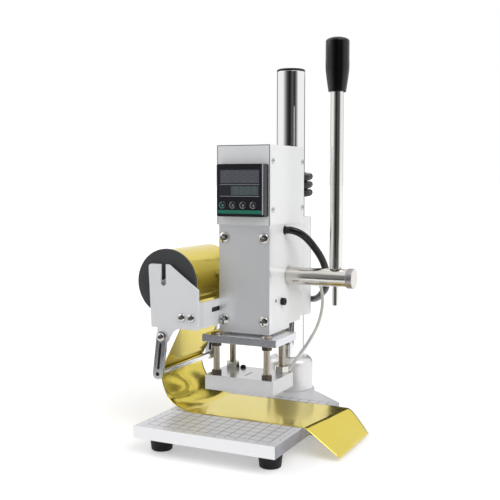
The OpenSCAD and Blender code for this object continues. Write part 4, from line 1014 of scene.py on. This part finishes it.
class STAMPING_OT_spring(bpy.types.Operator):
    """Winds the return spring in the ram"""

    bl_idname = "stamping.spring"
    bl_label = "Return spring"

    def execute(self, context):
        tree, given = geometry_tree("wound_spring", {
            "Turns": "Float", "Radius": "Float", "Height": "Float", "Wire": "Float", "Middle": "Vector",
            "Finish": "Material"})
        spiral = add(tree, "GeometryNodeCurveSpiral", {
            "Resolution": 24, "Rotations": given["Turns"], "Start Radius": given["Radius"],
            "End Radius": given["Radius"], "Height": given["Height"]})
        wire = add(tree, "GeometryNodeCurvePrimitiveCircle", {"Resolution": 10, "Radius": given["Wire"]})
        coil = add(tree, "GeometryNodeCurveToMesh", {
            "Curve": spiral.outputs[0], "Profile Curve": wire.outputs[0], "Fill Caps": True})
        moved = add(tree, "GeometryNodeTransform", {
            "Geometry": coil.outputs[0], "Translation": given["Middle"]})
        close_tree(tree, moved.outputs[0], given["Finish"])
        low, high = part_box("return_spring")
        x, y = middle_of("return_spring").xy
        spring = placed("wound_return_spring", bpy.data.meshes.new("wound_return_spring"))
        grown(spring, tree, {
            "Turns": float(context.scene.stamping_sizes.spring_turns),
            "Radius": (high[0] - low[0]) / 2 - WIRE_RADIUS, "Height": high[2] - low[2] - 2 * WIRE_RADIUS,
            "Wire": WIRE_RADIUS, "Middle": (x, y, low[2] + WIRE_RADIUS), "Finish": finish("spring_wire")})
        for polygon in spring.data.polygons:
            polygon.use_smooth = True
        settle(spring, "head", ("return_spring",))
        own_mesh(spring)
        return {"FINISHED"}


class STAMPING_OT_box(bpy.types.Operator):
    """Dresses the controller box"""

    bl_idname = "stamping.box"
    bl_label = "Controller box"

    def execute(self, context):
        dress_all(("box_cover", "box_enamel", 0.5), ("box_chassis", "box_enamel", 0.3),
                  ("box_front_panel", "panel_enamel", 0.5), ("controller_case", "cap_plastic", 0.8))
        # Dark strips along the front panel's left, right and top edges: painted shade in the gap between
        # panel and cover
        low, high = map(spot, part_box("box_front_panel"))
        edge, wide, corner, proud = 0.2, 0.6, 0.1, 0.04
        x0, x1, z0, z1 = low.x + edge, high.x - edge, low.z, high.z - edge
        seam = [rectangle(x0, x0 + wide, z0, z1, corner), rectangle(x1 - wide, x1, z0, z1, corner),
                rectangle(x0, x1, z1 - wide, z1, corner)]
        piece("panel_seam", plates("panel_seam", seam, low.y, proud), "head", finish("seam_shadow"))
        return {"FINISHED"}


# Thickness of a figure's bar, its share of the pitch across, and the gaps at its bars' ends
BAR, FIGURE_SHARE, BAR_END, BAR_MIDDLE, BAR_TIP = 0.9, 0.60, 0.3, 0.25, 0.5
# Each key with its body, its mark's finish and the direction of its arrow
KEYS = (("key_set", "set_key", "green_print", 45), ("key_shift", "shift_key", "mark_print", 180),
        ("key_down", "down_key", "mark_print", 270), ("key_up", "up_key", "mark_print", 90))
# Radii of a key's ring, reach and place of its arrow, and how far they stand out
MARK_OUTER, MARK_INNER, ARROW, ARROW_X, ARROW_Z, MARK_PROUD = 2.9, 2.5, 1.2, 0.6, -0.2, 0.05


class STAMPING_OT_controller(bpy.types.Operator):
    """Dresses the controller with its displays, strip and keys"""

    bl_idname = "stamping.controller"
    bl_label = "Controller"

    @staticmethod
    def bar(x, z, long, upright):
        """Outline of a bar with pointed ends about its middle."""
        half, side = long / 2, BAR / 2
        outline = ((-half, 0), (side - half, -side), (half - side, -side), (half, 0),
                   (half - side, side), (side - half, side))
        return [(x - b, z + a) if upright else (x + a, z + b) for a, b in outline]

    def figures(self, x0, x1, z0, z1, count):
        """Outlines of the bars of seven-bar figures, all of them."""
        bars, pitch, tall, z = [], (x1 - x0) / count, z1 - z0, (z0 + z1) / 2
        wide = pitch * FIGURE_SHARE
        for i in range(count):
            x = x0 + pitch * (i + 0.5)
            bars += [self.bar(x, z + k * (tall - BAR) / 2, wide - 2 * BAR_END, False) for k in (-1, 0, 1)]
            bars += [self.bar(x + j * wide / 2, z + k * (tall / 2 + BAR_MIDDLE - BAR_TIP) / 2,
                              tall / 2 - BAR_MIDDLE - BAR_TIP, True) for j in (-1, 1) for k in (-1, 1)]
        return bars

    def execute(self, context):
        dress_all(("controller_bezel", "bezel_moulding", 0.6), ("controller_window", "display_glass", 0.2))
        low, high = map(spot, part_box("controller_bezel"))
        mid, right = spot(middle_of("controller_window")).x, high.x
        # Name, outlines, how far they stand out, finish and material slot of the flat pieces
        for name, outlines, depth, coat, slot in (
                ("upper_screen", [rectangle(mid - 19.2, mid + 19.9, 240.6, 252.4)], 0.06,
                 "screen_grey", "controller_display"),
                ("lower_screen", [rectangle(mid - 8.4, mid + 19.4, 229.5, 237.9)], 0.06,
                 "screen_green", "controller_display"),
                ("upper_figures", self.figures(mid - 16, mid + 17, 242.3, 250.8, 4), 0.09,
                 "segment_grey", "controller_display"),
                ("lower_figures", self.figures(mid - 6.5, mid + 18, 230.7, 236.8, 4), 0.09,
                 "segment_green", "controller_display"),
                ("display_rules", [rectangle(mid - 20, mid + 20.2, z, z + 0.35, 0.1) for z in (239.1, 228.4)],
                 0.10, "mark_print", "controller_display"),
                ("lower_strip", [rectangle(right - 46.6, right - 2.3, 212.8, 216.0, 0.4)], 0.08,
                 "strip_print", "controller_black"),
                # A pale strip by the bezel's right edge: a painted highlight of its rim
                ("side_rib", [rectangle(right - 1.9, right - 0.8, 212.0, 258.0, 0.4)], 0.25,
                 "rib_gloss", "controller_black")):
            piece(name, plates(name, outlines, low.y, depth), "head", finish(coat))
        for key, body, coat, turn in KEYS:
            dress(key, finish("key_rubber"), 0.4)
            self.mark(key, body, coat, turn)
        return {"FINISHED"}

    def mark(self, key, body, coat, turn):
        """An open ring and an arrow on a key."""
        x, z = spot(middle_of(key)).xz
        front = spot(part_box(key)[0]).y
        ring = [(radius, a) for radius, angles in (
            (MARK_OUTER, range(100, 321, 20)), (MARK_INNER, range(320, 99, -20))) for a in angles]
        ring = [(x + r * math.cos(math.radians(a)), z + r * math.sin(math.radians(a))) for r, a in ring]
        corners = [math.radians(turn + a) for a in (0, 120, 240)]
        x, z = x + ARROW_X, z + ARROW_Z
        arrow = [(x + ARROW * math.cos(a), z + ARROW * math.sin(a)) for a in corners]
        piece(key + "_mark", plates(key + "_mark", [ring, arrow], front, MARK_PROUD), body, finish(coat))


# Radius and height of the flat dark disc on the guide rod's end, which paints the shade in its socket
ROD_SOCKET_SHADE = ((0.0, 0.02), (1.7, 0.02), (1.9, 0.0), (0.0, 0.0))
# The slot in the bracket's strip in Y and Z, and the depth under the strip and thickness of the dark sheet in
# it, which paints the shade seen through the slot
BRACKET_SLOT = ((70.5, 121), (93.5, 121), (93.5, 125), (70.5, 125))
SHADE_SHEET_UNDER, SHADE_SHEET = 1.3, 0.0006
# The slots in the guide arms: ends as shares of the way from pivot to rod, and half width
GUIDE_SLOT, GUIDE_SLOT_HALF = (0.165, 0.875), 0.0013
# Shift from the arms' front and rear faces, and thickness, of the dark sheets in the slots, which paint the
# shade in them
GUIDE_SHADE_SHIFTS, GUIDE_SHADE_SHEET = (0.0016, -0.0020), 0.0004


class STAMPING_OT_holder(bpy.types.Operator):
    """Dresses the roll holder and the foil guide"""

    bl_idname = "stamping.holder"
    bl_label = "Roll holder"

    def execute(self, context):
        dress_all(("roll_bracket", "sheet_enamel", 0.3), ("roll_cheeks", "sheet_enamel", 0.3),
                  ("guide_arms", "brushed_sheet", 0.3), ("guide_rod", "chrome_plate", 0.3))
        rod, pivot = middle_of("guide_rod"), middle_of("guide_pivot_screws")
        rod.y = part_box("guide_rod")[0][1]
        # A flat dark disc on the rod's end: painted shade of its socket
        socket = lathe("rod_socket", ROD_SOCKET_SHADE, sides=32)
        piece("rod_socket", turned(socket, rod, "X"), "guide", finish("black_oxide"))
        # A dark sheet in the slot: painted shade where the slot shows only darkness
        strip = spot(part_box("roll_bracket")[1]).x - SHADE_SHEET_UNDER
        slot = [at(strip, y, z) for y, z in BRACKET_SLOT]
        piece("slot_liner", slabs("slot_liner", [slot], (SHADE_SHEET, 0, 0)), "head", finish("cap_plastic"))
        rod.y = pivot.y = 0
        side = GUIDE_SLOT_HALF * Vector((pivot.z - rod.z, 0, rod.x - pivot.x)).normalized()
        top, foot = (pivot.lerp(rod, share) for share in GUIDE_SLOT)
        outline = (top - side, top + side, foot + side, foot - side)
        slots = [[point + Vector((0, face[1] + shift, 0)) for point in outline]
                 for face, shift in zip(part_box("guide_arms"), GUIDE_SHADE_SHIFTS)]
        # Dark sheets inside the guide arms' slots: painted shade
        piece("guide_slot_liners", slabs("guide_slot_liners", slots, (0, GUIDE_SHADE_SHEET, 0)), "guide",
              finish("cap_plastic"))
        return {"FINISHED"}


class STAMPING_OT_roll(bpy.types.Operator):
    """Dresses the foil roll"""

    bl_idname = "stamping.roll"
    bl_label = "Foil roll"

    def execute(self, context):
        dress("foil_roll", foil_finish("foil_wound", 0.05), 0.3)
        dress_all(("roll_flanges", "flange_moulding", 0.7), ("roll_core", "wound_card", 0.3),
                  ("roll_axle", "zinc_screw", 0.4))
        return {"FINISHED"}


# Radius and height of the grip's foot and flare, and radius and depth below its top of its dome
GRIP_FOOT = ((6.05, 0.0), (7.7, 0.0), (8.1, 0.3), (8.25, 1.0), (8.75, 4.5), (9.35, 8.5), (9.95, 12.5),
             (10.45, 16.5), (10.8, 20.0), (11.0, 24.0))
GRIP_DOME = ((11.0, 4.4), (10.8, 3.4), (10.1, 2.5), (8.6, 1.6), (6.3, 0.8), (3.3, 0.2), (0.0, 0.0))


class STAMPING_OT_lever(bpy.types.Operator):
    """Dresses the lever, its shaft and pinion, and turns its grip"""

    bl_idname = "stamping.lever"
    bl_label = "Lever"

    def execute(self, context):
        dress_all(("lever_shaft", "shaft_nickel", 0.4), ("lever_rod", "lever_nickel", 0.4))
        dress("shaft_end_cap", finish("shaft_nickel"), 0.8, finish("cap_ring"),
              lambda f: abs(f.normal.x) < 0.5)
        dress_all(("shaft_retaining_ring", "spring_wire", 0.2), ("lever_pinion", "gear_steel", 0))
        low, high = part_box("lever_grip")
        tall = (high[2] - low[2]) * 1000
        profile = GRIP_FOOT + tuple((radius, tall - depth) for radius, depth in GRIP_DOME)
        grip = lathe("grip", profile, Vector((*middle_of("lever_grip").xy, low[2])))
        piece("turned_grip", grip, "lever", finish("grip_moulding"), ("lever_grip",))
        return {"FINISHED"}


# The line in Y in front of which the nuts are painted dark as shade, and the slit on the heated plate in X
# and Y, painted as a dark strip of shade
NUT_SHADE_LINE, PLATE_SLIT, SLIT_PROUD = 94, ((0.9, 82), (1.9, 82), (1.9, 97), (0.9, 97)), 0.00003


class STAMPING_OT_press(bpy.types.Operator):
    """Dresses the ram, the two plates and what joins them"""

    bl_idname = "stamping.press"
    bl_label = "Press"

    def execute(self, context):
        dress_all(("ram", "gear_steel", 0), ("ram_screws", "zinc_screw", 0.2),
                  ("upper_plate", "milled_plate", 0.4), ("heater_plate", "heater_plate", 0.5))
        dress("plate_studs", stud_thread(), 0.3)
        line = at(0, NUT_SHADE_LINE, 0).y
        # Nuts in front of the line get the darkened steel: painted shade
        dress("stud_nuts", finish("nut_steel"), 0.5, finish("dark_nut"),
              lambda f: f.calc_center_median().y < line)
        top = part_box("heater_plate")[1][2] * 1000
        # A dark strip on the heated plate's top: painted shade in its slit
        slit = [at(x, y, top) for x, y in PLATE_SLIT]
        piece("plate_slit", slabs("plate_slit", [slit], (0, 0, SLIT_PROUD)), "press", finish("seam_shadow"))
        dress_all(("cartridge_heaters", "tinted_sheath"))
        return {"FINISHED"}


class STAMPING_OT_screws(bpy.types.Operator):
    """Sets the detailed screws in the places of the plain ones"""

    bl_idname = "stamping.screws"
    bl_label = "Screws"

    def execute(self, context):
        zinc, black = finish("zinc_screw"), finish("black_oxide")
        for row in (("front_plate_screws", "Y", "cross", 10.0, 3.0, 3.9, zinc),
                    ("cover_screws", "X", "cross", 5.4, 1.0, 2.9, zinc),
                    ("bracket_screws", "X", "cross", 8.0, 2.6, 3.9, zinc),
                    ("cheek_screws", "Y", "hexagon", 8.0, 2.6, 3.9, zinc),
                    ("guide_pivot_screws", "Y", "hexagon", 8.0, 2.6, 3.9, zinc),
                    ("chassis_screws", "+Z", "cross", 7.0, 2.0, 3.9, zinc),
                    ("foot_screws", "-Z", "cross", 9.0, 3.0, 4.9, zinc),
                    ("probe_screw", "+Z", "hexagon", 5.5, 3.0, 2.9, black)):
            screws(*row)
        for kind in ("cross", "hexagon"):
            bpy.data.objects.remove(screw_head(kind))
        return {"FINISHED"}


class STAMPING_PT_panel(bpy.types.Panel):
    """Lists the sizes, the colours and the steps that dress the machine"""

    bl_label = "Stamping machine"
    bl_idname = "STAMPING_PT_panel"
    bl_space_type = "VIEW_3D"
    bl_region_type = "UI"
    bl_category = "Stamping"

    def draw(self, context):
        for group in (context.scene.stamping_sizes, context.scene.stamping_colours):
            for name in group.__annotations__:
                self.layout.prop(group, name)
        for step in STEPS:
            self.layout.operator(step.bl_idname)


STEPS = (STAMPING_OT_stage, STAMPING_OT_leads, STAMPING_OT_foil, STAMPING_OT_base, STAMPING_OT_column,
         STAMPING_OT_head, STAMPING_OT_spring, STAMPING_OT_box, STAMPING_OT_controller, STAMPING_OT_holder,
         STAMPING_OT_roll, STAMPING_OT_lever, STAMPING_OT_press, STAMPING_OT_screws)
CLASSES = (StampingSizes, StampingColours, *STEPS, STAMPING_PT_panel)


def register():
    for cls in CLASSES:
        bpy.utils.register_class(cls)
    bpy.types.Scene.stamping_sizes = bpy.props.PointerProperty(type=StampingSizes)
    bpy.types.Scene.stamping_colours = bpy.props.PointerProperty(type=StampingColours)


def unregister():
    del bpy.types.Scene.stamping_colours
    del bpy.types.Scene.stamping_sizes
    for cls in reversed(CLASSES):
        bpy.utils.unregister_class(cls)


def main():
    register()
    for step in STEPS:
        group, name = step.bl_idname.split(".")
        getattr(getattr(bpy.ops, group), name)()


if __name__ == "__main__":
    main()
